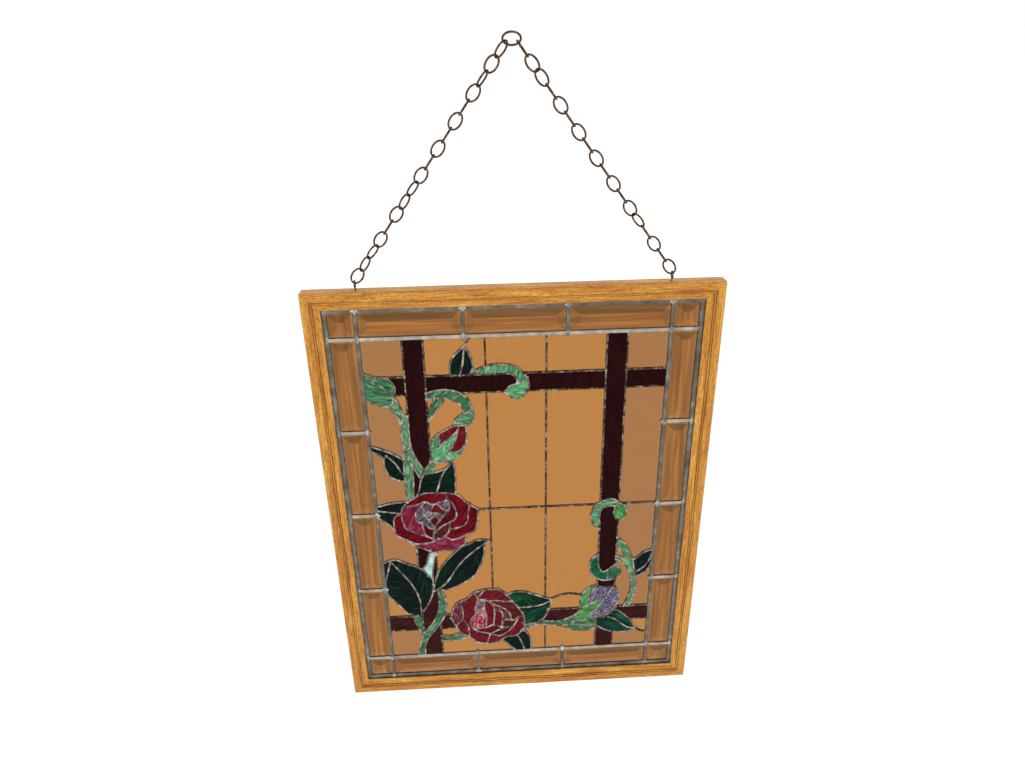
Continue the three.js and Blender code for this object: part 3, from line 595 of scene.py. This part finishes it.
FINISH = {
    "plain": clear_glass("peach_glass", linear(176, 119, 56)),
    "dusky": clear_glass("dusky_glass", linear(158, 108, 62)),
    "trellis": art_glass("maroon_glass", ((22, 0, 2), (30, 1, 3), (42, 4, 6)), 20.0),
    "low_trellis": art_glass("russet_glass", ((32, 8, 8), (46, 14, 13), (62, 22, 20)), 20.0),
    "umber": art_glass("umber_glass", ((52, 12, 14), (74, 22, 22), (100, 38, 36)), 30.0),
    "stem": art_glass(
        "opal_green_glass", ((44, 88, 58), (76, 126, 86), (128, 172, 132)), 26.0, 4.0, 2.5
    ),
    "bud_green": art_glass(
        "bud_green_glass", ((50, 108, 68), (84, 146, 100), (146, 192, 146)), 22.0, 4.0, 2.5
    ),
    "bright_green": art_glass(
        "bright_green_glass", ((36, 92, 46), (64, 130, 68), (104, 166, 100)), 26.0, 4.0, 2.5
    ),
    "deep_stem": art_glass(
        "stem_green_glass", ((32, 72, 46), (56, 104, 68), (100, 144, 104)), 26.0, 4.0, 2.5
    ),
    "emerald": art_glass("emerald_glass", ((2, 58, 34), (6, 82, 48), (30, 110, 70)), 24.0, 4.0, 2.5),
    "bottle": art_glass("bottle_glass", ((22, 66, 42), (38, 94, 60), (68, 124, 86)), 24.0, 4.0, 2.5),
    "leaf": art_glass("dark_leaf_glass", ((3, 9, 8), (4, 18, 14), (9, 48, 36)), 34.0, 9.0, 1.0),
    "green_leaf": art_glass("green_leaf_glass", ((4, 20, 14), (6, 42, 28), (18, 86, 56)), 30.0, 6.0, 1.5),
    "crimson": art_glass("crimson_glass", ((62, 0, 12), (88, 2, 18), (126, 8, 30)), 26.0, 4.0, 2.0),
    "magenta": art_glass("magenta_glass", ((84, 12, 34), (114, 26, 52), (142, 62, 88)), 22.0, 3.0, 2.5),
    "lilac": art_glass("lilac_glass", ((70, 48, 60), (112, 84, 100), (166, 138, 154)), 50.0, 3.0, 3.0),
    "smoke": art_glass("smoke_glass", ((38, 28, 34), (82, 68, 80), (142, 128, 140)), 50.0, 3.0, 3.0),
    "ash": art_glass("ash_rose_glass", ((64, 18, 28), (92, 36, 48), (140, 92, 102)), 50.0, 3.0, 3.0),
    "red": art_glass("dull_red_glass", ((70, 6, 14), (92, 12, 24), (122, 32, 44)), 34.0, 4.0, 2.5),
    "pink": art_glass("pink_glass", ((92, 14, 30), (142, 42, 62), (220, 162, 172)), 46.0, 3.0, 3.0),
    "wine": art_glass("wine_glass", ((50, 0, 12), (74, 4, 20), (100, 16, 38)), 34.0, 5.0, 2.0),
    "violet": art_glass("violet_glass", ((44, 36, 56), (82, 72, 102), (138, 128, 158)), 70.0, 2.0, 2.0, 0.7),
    "mint": art_glass("mint_glass", ((120, 158, 146), (160, 194, 180), (204, 224, 214)), 30.0, 3.0, 2.0),
}
SLOT = {
    kind: slot
    for slot, kinds in (
        ("plain_glass", "plain dusky"),
        ("trellis_glass", "trellis low_trellis"),
        ("tendril_glass", "stem bud_green bright_green mint"),
        ("leaf_glass", "deep_stem emerald bottle leaf green_leaf"),
    )
    for kind in kinds.split()
}
METAL = {
    "came": zinc_came("zinc_came", (70, 66, 60), (106, 101, 92), (150, 145, 136)),
    # Painted light: the level cames get a lighter copy of the zinc, standing in for the light they catch
    # from above
    "level_came_painted_light": zinc_came("bright_zinc_came", (116, 111, 102), (164, 159, 149), (204, 199, 190)),
    "line": solder("pane_solder", (18, 15, 12), (70, 60, 50), (172, 156, 136)),
    "solder": solder("picture_solder", (32, 27, 24), (122, 110, 101), (204, 192, 181)),
    "joint": solder("joint_solder", (84, 80, 74), (140, 136, 129), (212, 208, 200)),
    "bronze": antique_bronze(),
}


def piece_of(name, mesh, materials, slot, *replaced):
    """An object of the scene that rides with the panel and stands for the named solids."""
    for material in materials:
        mesh.materials.append(material)
    thing = bpy.data.objects.new(name, mesh)
    bpy.context.scene.collection.objects.link(thing)
    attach(thing, "root")
    if replaced:
        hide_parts(*replaced)
    return thing


def mesh_of(name, points, faces, smooth=True):
    mesh = bpy.data.meshes.new(name)
    mesh.from_pydata(points, [], faces)
    shell = bmesh.new()
    shell.from_mesh(mesh)
    bmesh.ops.recalc_face_normals(shell, faces=shell.faces)
    shell.to_mesh(mesh)
    shell.free()
    if smooth:
        mesh.shade_smooth()
    return mesh


def swept(rings, closed=False):
    """Points and faces of a skin over rings of points, with flat ends unless it closes on itself."""
    sides = len(rings[0])
    points = [point for ring in rings for point in ring]
    faces = []
    count = len(rings)
    for i in range(count if closed else count - 1):
        j = (i + 1) % count
        for k in range(sides):
            m = (k + 1) % sides
            faces.append((i * sides + k, i * sides + m, j * sides + m, j * sides + k))
    if not closed:
        faces.append(tuple(range(sides)))
        faces.append(tuple((count - 1) * sides + k for k in reversed(range(sides))))
    return points, faces


def join(parts):
    """Several lots of points and faces as one."""
    points = []
    faces = []
    for some_points, some_faces in parts:
        base = len(points)
        points += some_points
        faces += [tuple(base + i for i in face) for face in some_faces]
    return points, faces


# Oak frame

# The steps of the moulding's outline that lie deep, beside its bead and along its lip, where shade is
# painted dark
SHADED_QUIRKS = (8, 16, 23)


def rail_profile():
    """The moulding: distance in from the outer edge and depth behind the face."""
    rounded = [
        (3.5 - 3.5 * math.sin(a), 3.5 - 3.5 * math.cos(a))
        for a in (math.radians(90 - 15 * i) for i in range(7))
    ]
    flat_end = RAIL_WIDTH - 13.5
    bead = [
        (RAIL_WIDTH - 11.6 + 1.3 * math.cos(a), 1.7 - 1.3 * math.sin(a))
        for a in (math.radians(180 - 30 * i) for i in range(7))
    ]
    slope = [
        (RAIL_WIDTH - 9.6, 2.6),
        (RAIL_WIDTH - 8.6, 2.5),
        (RAIL_WIDTH - 6.0, 3.3),
        (RAIL_WIDTH - 3.4, 4.4),
        (RAIL_WIDTH - 1.2, 5.1),
        (RAIL_WIDTH - 0.4, 5.6),
        (RAIL_WIDTH, 6.4),
        (RAIL_WIDTH, LIP),
    ]
    rebate = SIGHT_EDGE + RAIL_WIDTH - PANEL_EDGE - 0.5
    back = [(rebate, LIP), (rebate, FRAME_DEPTH - 0.8), (rebate - 0.8, FRAME_DEPTH)]
    outer = [(0.8, FRAME_DEPTH), (0.0, FRAME_DEPTH - 0.8)]
    step = [(flat_end - 0.6, 0.0), (flat_end, 0.5), (flat_end + 0.3, 1.7)]
    return rounded + step + bead + slope + back + outer


def rail(name, length, turn, place, materials):
    """One mitred length, its outer corners softened by wear, with shade painted dark into its quirks and
    along its lip.
    """
    profile = rail_profile()
    stations = [-1.0, -0.995, -0.985] + [i / 12 for i in range(-11, 12)] + [0.985, 0.995, 1.0]
    rings = []
    for station in stations:
        ring = []
        for inward, depth in profile:
            reach = length / 2 - inward - 0.1
            wear = 0.5 * max(0.0, abs(station) - 0.98) / 0.02 * max(0.0, 1 - inward / 2)
            ring.append(Vector((station * (reach - wear), FRAME_FRONT + depth, -inward - wear)))
        rings.append(ring)
    points, faces = swept(rings)
    spin = Matrix.Rotation(turn, 4, "Y")
    points = [(spin @ point + place) * MM for point in points]
    mesh = mesh_of(name, points, faces)
    mesh.set_sharp_from_angle(angle=math.radians(40))
    sides = len(profile)
    for i, face in enumerate(mesh.polygons[: sides * (len(rings) - 1)]):
        # Faces in the quirks and along the lip take the painted shade
        face.material_index = int(i % sides in SHADED_QUIRKS)
    return piece_of(name, mesh, materials, "oak", name.replace("oak_", ""))


def build_frame():
    # Painted shade: a flat dark oak colour laid into the quirks and along the lip
    shadow = Finish("oak_quirk_painted_shade", Roughness=0.6, IOR=1.45)
    shadow.shader.inputs["Base Color"].default_value = linear(92, 52, 18)
    along_x = [oak("oak_rail_finish", "X"), shadow.material]
    along_z = [oak("oak_stile_finish", "Z"), shadow.material]
    middle = (FRAME_TOP + FRAME_BOTTOM) / 2
    rail("oak_rail_top", FRAME_W, 0.0, Vector((0, 0, FRAME_TOP)), along_x)
    rail("oak_rail_bottom", FRAME_W, math.pi, Vector((0, 0, FRAME_BOTTOM)), along_x)
    rail("oak_stile_left", FRAME_H, -math.pi / 2, Vector((-FRAME_W / 2, 0, middle)), along_z)
    rail("oak_stile_right", FRAME_H, math.pi / 2, Vector((FRAME_W / 2, 0, middle)), along_z)


# Chain

# How far a link is turned about its leg, and each leg's links from the screw eye up
TURNS = {"F": 0.0, "E": math.pi / 2, "S": 0.95, "T": -0.95, "N": 1.25, "G": -0.45, "H": 0.45}
LEFT_TURNS = "FSTFEFSTFEFEFEFNFS"
RIGHT_TURNS = "FEFESFEFEFEFEFEGHE"


def wire_ring(line, wire, normal, sides=10):
    """A closed ring of round wire about a flat loop of points."""
    rings = []
    count = len(line)
    for i, point in enumerate(line):
        tangent = (line[(i + 1) % count] - line[i - 1]).normalized()
        outward = tangent.cross(normal).normalized()
        rings.append(
            [
                point + (outward * math.cos(a) + normal * math.sin(a)) * wire / 2
                for a in (2 * math.pi * k / sides for k in range(sides))
            ]
        )
    return swept(rings, closed=True)


def link(turn, lean, place, steps=36):
    """An oval link, long axis along local X, turned about it and then leaned along the leg."""
    spin = Matrix.Rotation(-lean, 4, "Y") @ Matrix.Rotation(-turn, 4, "X")
    line = []
    for i in range(steps):
        angle = 2 * math.pi * (i + 0.5) / steps
        local = Vector((LINK_HALF * math.cos(angle), 0, LINK_SIDE * math.sin(angle)))
        line.append(spin @ local + place)
    return wire_ring(line, LINK_WIRE, (spin @ Vector((0, 1, 0))).normalized())


def leg_direction(eye, top_z):
    """From a screw eye, square to the oval of the middle link where the leg bears on it."""
    direction = Vector((-eye.x, 0, top_z - eye.z)).normalized()
    for _ in range(SETTLING_TURNS):
        bearing = -Vector((LINK_HALF * LINK_HALF * direction.x, 0, LINK_SIDE * LINK_SIDE * direction.z))
        bearing /= math.hypot(LINK_HALF * direction.x, LINK_SIDE * direction.z)
        direction = (Vector((0, 0, top_z)) + bearing - eye).normalized()
    return direction


def build_chain():
    top_z = -(LINK_SIDE - LINK_WIRE / 2)
    eye_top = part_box("screw_eye_left")[1][2] / MM - EYE_WIRE / 2
    for name, sign, turns in (("chain_left", -1, LEFT_TURNS), ("chain_right", 1, RIGHT_TURNS)):
        eye = Vector((sign * EYE_X, 0, eye_top))
        direction = leg_direction(eye, top_z)
        lean = math.atan2(direction.z, direction.x)
        first = LINK_HALF - EYE_WIRE / 2 - LINK_WIRE / 2 - GAP
        parts = [
            link(TURNS[letter], lean, eye + direction * (first + i * LINK_PITCH))
            for i, letter in enumerate(turns)
        ]
        points, faces = join(parts)
        mesh = mesh_of(name + "_links", [p * MM for p in points], faces)
        piece_of(name + "_links", mesh, [METAL["bronze"]], "bronze", name)
    points, faces = link(0.0, 0.0, Vector((0, 0, top_z)))
    mesh = mesh_of("top_link", [p * MM for p in points], faces)
    piece_of("top_link", mesh, [METAL["bronze"]], "bronze", "chain_top_link")
    for name, sign in (("screw_eye_left", -1), ("screw_eye_right", 1)):
        centre = Vector((sign * EYE_X, 0, eye_top - EYE_RADIUS))
        loop = [
            centre + Vector((0, EYE_RADIUS * math.cos(a), EYE_RADIUS * math.sin(a)))
            for a in (2 * math.pi * (i + 0.5) / 24 for i in range(24))
        ]
        stem = []
        for z, radius in (
            (eye_top - 2 * EYE_RADIUS + 0.4, EYE_WIRE / 2),
            (FRAME_TOP + 1.2, EYE_WIRE / 2),
            (FRAME_TOP + 0.5, EYE_WIRE * 0.75),
            (FRAME_TOP + 0.02, EYE_WIRE * 0.75),
            (FRAME_TOP - 10.0, EYE_WIRE / 2 - 0.1),
        ):
            stem.append(
                [
                    Vector((sign * EYE_X + radius * math.cos(a), radius * math.sin(a), z))
                    for a in (2 * math.pi * k / 12 for k in range(12))
                ]
            )
        points, faces = join([wire_ring(loop, EYE_WIRE, Vector((1, 0, 0))), swept(stem)])
        mesh = mesh_of(name + "_wire", [p * MM for p in points], faces)
        piece_of(name + "_wire", mesh, [METAL["bronze"]], "bronze", name)


# Metal of the panel

def swept_bar(start, end, width, face):
    """A came between two points: crowned front and back, with a slight hand-worked unevenness."""
    half = width / 2
    section = [
        (-half, GLASS / 2 + 0.1),
        (-half, face * 0.72),
        (-half * 0.72, face * 0.94),
        (-half * 0.3, face),
        (half * 0.3, face),
        (half * 0.72, face * 0.94),
        (half, face * 0.72),
        (half, GLASS / 2 + 0.1),
    ]
    start = Vector(start)
    end = Vector(end)
    length = (end - start).length
    along = (end - start) / length
    across = Vector((-along.y, along.x))
    parts = []
    for side in (-1, 1):
        rings = []
        steps = max(2, round(length / 6))
        for i in range(steps + 1):
            middle = start + along * (length * i / steps)
            ring = []
            for offset, depth in section:
                shake = 1 + 0.024 * noise.noise(Vector((middle.x, middle.y, offset)) * 0.11)
                spot = middle + across * offset
                ring.append(at(spot.x, spot.y, side * depth * shake))
            rings.append(ring)
        parts.append(swept(rings))
    return join(parts)


def build_cames():
    low = -BORDER
    right = FIELD_W + BORDER
    top = FIELD_H + BORDER
    reach = EDGE_CAME_WIDTH / 2
    lines = []
    for u in (0, FIELD_W):
        lines.append(((u, low), (u, top), CAME_WIDTH))
    for v in (0, FIELD_H):
        lines.append(((low, v), (right, v), CAME_WIDTH))
    for column in range(1, COLUMNS):
        lines.append(((column * PITCH, low), (column * PITCH, 0), CAME_WIDTH))
        lines.append(((column * PITCH, FIELD_H), (column * PITCH, top), CAME_WIDTH))
    for row in range(1, ROWS):
        lines.append(((low, row * PITCH), (0, row * PITCH), CAME_WIDTH))
        lines.append(((FIELD_W, row * PITCH), (right, row * PITCH), CAME_WIDTH))
    for u in (low, right):
        lines.append(((u, low - reach), (u, top + reach), EDGE_CAME_WIDTH))
    for v in (low, top):
        lines.append(((low - reach, v), (right + reach, v), EDGE_CAME_WIDTH))
    # Level cames take the copy of the zinc painted lighter, as if lit from above
    for name, metal, level in (("upright_came", "came", False), ("level_came", "level_came_painted_light", True)):
        bars = [
            swept_bar(start, end, width, CAME_FACE - 0.02 * (i % 3))
            for i, (start, end, width) in enumerate(lines)
            if (start[1] == end[1] and width == CAME_WIDTH) == level
        ]
        points, faces = join(bars)
        mesh = mesh_of(name, points, faces)
        piece_of(name, mesh, [METAL[metal]], "lead", "lead_and_solder")


def blob(u, v, radius, face, seed):
    """A flattened lump of solder on both faces of the panel."""
    parts = []
    for side in (-1, 1):
        rings = []
        steps = 6
        sides = 14
        for i in range(steps):
            tilt = math.pi / 2 * i / (steps - 0.6)
            ring = []
            for k in range(sides):
                angle = 2 * math.pi * k / sides
                lump = 1 + 0.28 * noise.noise(Vector((math.cos(angle), math.sin(angle), seed * 1.7)) * 1.3)
                spread = radius * math.cos(tilt) * lump
                height = GLASS / 2 + (face - GLASS / 2) * math.sin(tilt)
                ring.append(at(u + spread * math.cos(angle), v + spread * math.sin(angle), side * height))
            rings.append(ring)
        parts.append(swept(rings))
    return join(parts)


def build_joints():
    """The lumps where the border's cames meet, smeared along each came."""
    low = -BORDER
    spots = [(u, v) for u in (0, FIELD_W) for v in (0, FIELD_H)]
    for column in range(1, COLUMNS):
        spots += [(column * PITCH, v) for v in (low + 1, 0, FIELD_H, FIELD_H + BORDER - 1)]
    for row in range(1, ROWS):
        spots += [(u, row * PITCH) for u in (low + 1, 0, FIELD_W, FIELD_W + BORDER - 1)]
    for u in (0, FIELD_W):
        spots += [(u, low + 1), (u, FIELD_H + BORDER - 1)]
    for v in (0, FIELD_H):
        spots += [(low + 1, v), (FIELD_W + BORDER - 1, v)]
    parts = []
    for i, (u, v) in enumerate(spots):
        parts.append(blob(u, v, 4.4, CAME_FACE + 0.9, i))
        for k, (du, dv) in enumerate(((5, 0), (-5, 0), (0, 5), (0, -5))):
            if low - 4 < u + du < FIELD_W + BORDER + 4 and low - 4 < v + dv < FIELD_H + BORDER + 4:
                parts.append(blob(u + du * 0.7, v + dv * 0.7, 3.0, CAME_FACE + 0.5, i * 5 + k))
    points, faces = join(parts)
    mesh = mesh_of("came_joints", points, faces)
    piece_of("came_joints", mesh, [METAL["joint"]], "lead", "lead_and_solder")


def bead(line, seed):
    """A seam's solder: a low uneven rope on both faces of the glass."""
    stations = resampled(line, 2.2)
    arcs = 7
    parts = []
    for side in (-1, 1):
        rings = []
        for i, middle in enumerate(stations):
            ahead = stations[min(i + 1, len(stations) - 1)] - stations[max(i - 1, 0)]
            along = ahead.normalized()
            across = Vector((-along.y, along.x))
            where = Vector((middle.x, middle.y, seed * 7.3 + side))
            swell = 1 + 0.34 * noise.noise(where * 0.16) + 0.12 * noise.noise(where * 0.6)
            rise = 1 + 0.75 * noise.noise(where * 0.22 + Vector((40, 0, 0)))
            ring = []
            for k in range(arcs):
                angle = math.pi * k / (arcs - 1)
                spot = middle + across * (math.cos(angle) * SEAM_WIDTH / 2 * swell)
                height = GLASS / 2 - 0.15 + (SEAM_CROWN + 0.15) * math.sin(angle) * rise
                ring.append(at(spot.x, spot.y, side * height))
            rings.append(ring)
        parts.append(swept(rings))
    return join(parts)


def resampled(line, spacing):
    total = sum((b - a).length for a, b in zip(line, line[1:]))
    count = max(2, round(total / spacing))
    result = [line[0]]
    walked = 0.0
    target = total / count
    for a, b in zip(line, line[1:]):
        length = (b - a).length
        while walked + length >= target - 1e-6 and len(result) < count:
            result.append(a.lerp(b, (target - walked) / length))
            target += total / count
        walked += length
    result.append(line[-1])
    return result


def build_seams(name, lines, metal):
    parts = [bead(line, i) for i, line in enumerate(lines)]
    for i, line in enumerate(lines):
        for end in (line[0], line[-1]):
            if 2 < end.x < FIELD_W - 2 and 2 < end.y < FIELD_H - 2:
                parts.append(blob(end.x, end.y, 2.5, GLASS / 2 + SEAM_CROWN * 1.25, i))
    points, faces = join(parts)
    mesh = mesh_of(name, points, faces)
    piece_of(name, mesh, [metal], "lead", "lead_and_solder")


# Glass of the picture

# Kinds of glass by points inside their pieces; every other piece is a plain pane
KINDS = {
    "dusky": (
        "30,600 30,540 20,470 30,345 25,290 20,230 30,50 45,200 "
        "430,600 430,480 430,260 415,150 445,130 430,20"
    ),
    "trellis": (
        "80,580 54,543 189,544 330,540 441,538 382,455 382,240 20,544 80,450 "
        "71,374 71,220 88,198 383,143"
    ),
    "low_trellis": "382,20 75,110 80,12 105,80 20,77 316,87 450,77",
    "leaf": (
        "140,575 156,570 20,423 41,385 34,320 20,303 92,373 116,356 30,140 68,160 130,205 "
        "120,160 221,23 243,31 446,192 446,171 391,51 410,64 52,75"
    ),
    "green_leaf": "242,117 254,84 407,42 402,77",
    "stem": (
        "200,561 236,545 44,504 51,492 60,466 56,397 60,424 88,390 135,522 144,474 142,464 "
        "370,311 358,290 429,150 411,219"
    ),
    "bud_green": "24,524 233,523 104,437 116,426 137,419",
    "bright_green": "359,84 346,116 329,70 400,287",
    "deep_stem": "95,113 56,29 53,77 115,38 298,58 325,53 35,542 336,50 105,517",
    "emerald": "365,173",
    "bottle": "393,172",
    "mint": "82,210",
    "crimson": "36,279 132,265 152,279 157,305 139,303 69,335 168,52",
    "magenta": "53,293 82,238 131,247 108,322",
    "wine": "125,312 99,301 93,292 116,299 82,271",
    "lilac": "70,301 163,109",
    "smoke": "80,320 86,303",
    "red": "97,313 125,452 145,446 143,107 179,88 192,85 165,39 226,55 131,61 191,129 232,72",
    "umber": "216,103 197,48 105,275 216,67",
    "ash": "122,100 209,81 161,131",
    "pink": "157,73",
    "violet": "384,119 390,88 366,78",
}


def in_field(point, slack=0.5):
    return -slack < point.x < FIELD_W + slack and -slack < point.y < FIELD_H + slack


def closed_pieces():
    """The points of all the seams, and the glass pieces between them as lists of triangles."""
    points = [Vector(corner) for corner in ((0, 0), (FIELD_W, 0), (FIELD_W, FIELD_H), (0, FIELD_H))]
    edges = [(0, 1), (1, 2), (2, 3), (3, 0)]
    for line in seams:
        longer = list(line)
        longer[0] = line[0] + (line[0] - line[1]).normalized() * SEAM_REACH
        longer[-1] = line[-1] + (line[-1] - line[-2]).normalized() * SEAM_REACH
        base = len(points)
        points += longer
        edges += [(base + i, base + i + 1) for i in range(len(longer) - 1)]
    points, edges, triangles, _, origins, _ = delaunay_2d_cdt(points, edges, [], 0, 0.001)
    walls = {tuple(sorted(edge)) for edge, origin in zip(edges, origins) if origin}
    beside = {}
    for i, triangle in enumerate(triangles):
        for k in range(3):
            beside.setdefault(tuple(sorted((triangle[k], triangle[k - 1]))), []).append(i)
    seen = set()
    pieces = []
    for seed in range(len(triangles)):
        if seed in seen:
            continue
        seen.add(seed)
        piece = [seed]
        for i in piece:
            for k in range(3):
                edge = tuple(sorted((triangles[i][k], triangles[i][k - 1])))
                if edge in walls:
                    continue
                for j in beside[edge]:
                    if j not in seen:
                        seen.add(j)
                        piece.append(j)
        pieces.append([triangles[i] for i in piece])
    inside = [
        piece for piece in pieces if all(in_field(points[i]) for triangle in piece for i in triangle)
    ]
    return points, inside


def holds(points, piece, spot):
    for triangle in piece:
        a, b, c = (points[i] for i in triangle)
        turns = [(q - p).cross(spot - p) for p, q in ((a, b), (b, c), (c, a))]
        if all(turn >= 0 for turn in turns) or all(turn <= 0 for turn in turns):
            return True
    return False


def widest_spot(points, piece):
    best = (0.0, None)
    for triangle in piece:
        a, b, c = (points[i] for i in triangle)
        around = (a - b).length + (b - c).length + (c - a).length
        best = max(best, (abs((b - a).cross(c - a)) / around, (a + b + c) / 3), key=lambda pair: pair[0])
    return best[1]


def solid_at(spot):
    """The name of the CAD plate that a spot of the picture lies on, or the nearest one's."""
    for ring in (0, 2, 4, 7, 11):
        for k in range(8):
            angle = 2 * math.pi * k / 8
            eye = at(spot.x + ring * math.cos(angle), spot.y + ring * math.sin(angle), -20)
            for name, thing in plates.items():
                if thing.ray_cast(eye, Vector((0, 1, 0)))[0]:
                    return name
    return None


plates = {
    name: thing
    for name, thing in nodes.items()
    if name.startswith(("pane", "trellis", "upper_", "lower_", "top_", "left_spray", "right_spray"))
}


def build_glass():
    points, pieces = closed_pieces()
    groups = {}
    for number, piece in enumerate(pieces):
        kind = "plain"
        for name, spots in KINDS.items():
            if any(holds(points, piece, Vector(map(float, spot.split(",")))) for spot in spots.split()):
                kind = name
        spot = widest_spot(points, piece)
        if spot is None:
            continue
        home = solid_at(spot)
        if home:
            groups.setdefault((home, kind), []).append((number, piece))
    for (home, kind), members in groups.items():
        thing = glass_object(f"{home}_{kind}", points, members, kind)
        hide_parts(home)


def glass_object(name, points, members, kind):
    """Flat plates as thick as the glass, each turned and placed in a sheet it was cut from."""
    shell = bmesh.new()
    sheet = shell.loops.layers.uv.new("sheet")
    for number, piece in members:
        angle = number * 2.4
        cosine = math.cos(angle)
        sine = math.sin(angle)
        shift = Vector((number * 0.37 % 1.0, number * 0.61 % 1.0))
        used = sorted({i for triangle in piece for i in triangle})
        front = {i: shell.verts.new(at(points[i].x, points[i].y, -GLASS / 2)) for i in used}
        back = {i: shell.verts.new(at(points[i].x, points[i].y, GLASS / 2)) for i in used}
        rim = {}
        faces = []
        for triangle in piece:
            a, b, c = triangle
            faces.append((shell.faces.new([front[i] for i in triangle]), triangle))
            faces.append((shell.faces.new([back[i] for i in reversed(triangle)]), (c, b, a)))
            for edge in ((a, b), (b, c), (c, a)):
                rim[edge] = rim.get(edge, 0) + 1
        for a, b in list(rim):
            if (b, a) not in rim:
                faces.append((shell.faces.new((front[b], front[a], back[a], back[b])), (b, a, a, b)))
        for face, corners in faces:
            for loop, i in zip(face.loops, corners):
                u, v = points[i] * MM
                loop[sheet].uv = Vector((u * cosine - v * sine, u * sine + v * cosine)) + shift
    bmesh.ops.recalc_face_normals(shell, faces=shell.faces)
    bmesh.ops.dissolve_limit(
        shell, angle_limit=math.radians(1), verts=shell.verts, edges=shell.edges, delimit={"UV"}
    )
    mesh = bpy.data.meshes.new(name)
    shell.to_mesh(mesh)
    shell.free()
    return piece_of(name, mesh, [FINISH[kind]], SLOT.get(kind, "rose_glass"))


def finish_bevels():
    """The border's bevelled glass keeps its solids, with a polished clear finish that has light and shade
    painted on its slopes.
    """
    upright = bevel_glass("upright_bevel_glass", "Z")
    level = bevel_glass("level_bevel_glass", "X")
    for name, thing in nodes.items():
        if name.startswith(("bevel_", "corner_")):
            thing.data.materials.clear()
            thing.data.materials.append(upright if "left" in name or "right" in name else level)


# Studio

def build_studio():
    scene = bpy.context.scene
    floor_mesh = bpy.data.meshes.new("floor")
    size = 40.0
    low = FRAME_BOTTOM * MM - 0.55
    corners = [(-size, -size, low), (size, -size, low), (size, size, low), (-size, size, low)]
    floor_mesh.from_pydata(corners, [], [(0, 1, 2, 3)])
    floor = bpy.data.objects.new("floor", floor_mesh)
    scene.collection.objects.link(floor)
    pale = Finish("pale_floor", Roughness=1.0, Specular_IOR_Level=0.0)
    pale.shader.inputs["Base Color"].default_value = (0.97, 0.97, 0.97, 1.0)
    pale.shader.inputs["Emission Color"].default_value = (1.0, 1.0, 1.0, 1.0)
    pale.shader.inputs["Emission Strength"].default_value = 0.15
    floor_mesh.materials.append(pale.material)
    world = bpy.data.worlds.new("studio")
    scene.world = world
    world.use_nodes = True
    world.node_tree.nodes["Background"].inputs["Color"].default_value = (1, 1, 1, 1)
    world.node_tree.nodes["Background"].inputs["Strength"].default_value = 1.0
    scene.view_settings.view_transform = "Standard"
    for name, place, power, width in (
        ("key", (-1.6, -2.2, 1.2), 18.0, 1.6),
        ("fill", (2.0, -1.8, 0.2), 7.0, 1.8),
    ):
        lamp = bpy.data.lights.new(name, "AREA")
        lamp.energy = power
        lamp.size = width
        thing = bpy.data.objects.new(name, lamp)
        thing.location = place
        thing.rotation_euler = (Vector((0, 0, -0.6)) - Vector(place)).to_track_quat("-Z", "Y").to_euler()
        scene.collection.objects.link(thing)


def build_camera():
    """Level with the top of the chain, looking down at the panel from a metre away."""
    lens = bpy.data.cameras.new("photo_camera")
    lens.sensor_width = SENSOR_WIDTH
    lens.lens = FOCAL_LENGTH / PHOTO_WIDTH * SENSOR_WIDTH
    lens.clip_start = 0.01
    camera = bpy.data.objects.new("photo_camera", lens)
    right = Vector((0.99835, -0.05545, -0.01477))
    up = Vector((0.03693, 0.42373, 0.90504))
    back = Vector((-0.04393, -0.90409, 0.42508))
    place = Vector((-55.2, -1002.1 + FRAME_FRONT, 321.0 + FRAME_TOP)) * MM
    turned = Matrix((right, up, back)).transposed().to_4x4()
    camera.matrix_world = Matrix.Translation(place) @ turned
    bpy.context.scene.collection.objects.link(camera)
    bpy.context.scene.camera = camera


def lay_out_picture():
    """Draws every seam, and says how many of them belong to the trellis and panes."""
    trellis_seams()
    count = len(seams)
    top_tendril_seams()
    left_stem_seams()
    rosebud_seams()
    upper_rose_seams()
    lower_rose_seams()
    lower_left_seams()
    purple_bud_seams()
    right_spray_seams()
    curl_seams()
    return count


build_camera()
build_studio()
pane_lines = lay_out_picture()
build_frame()
build_chain()
build_cames()
build_joints()
build_seams("pane_seams", seams[:pane_lines], METAL["line"])
build_seams("picture_seams", seams[pane_lines:], METAL["solder"])
build_glass()
finish_bevels()
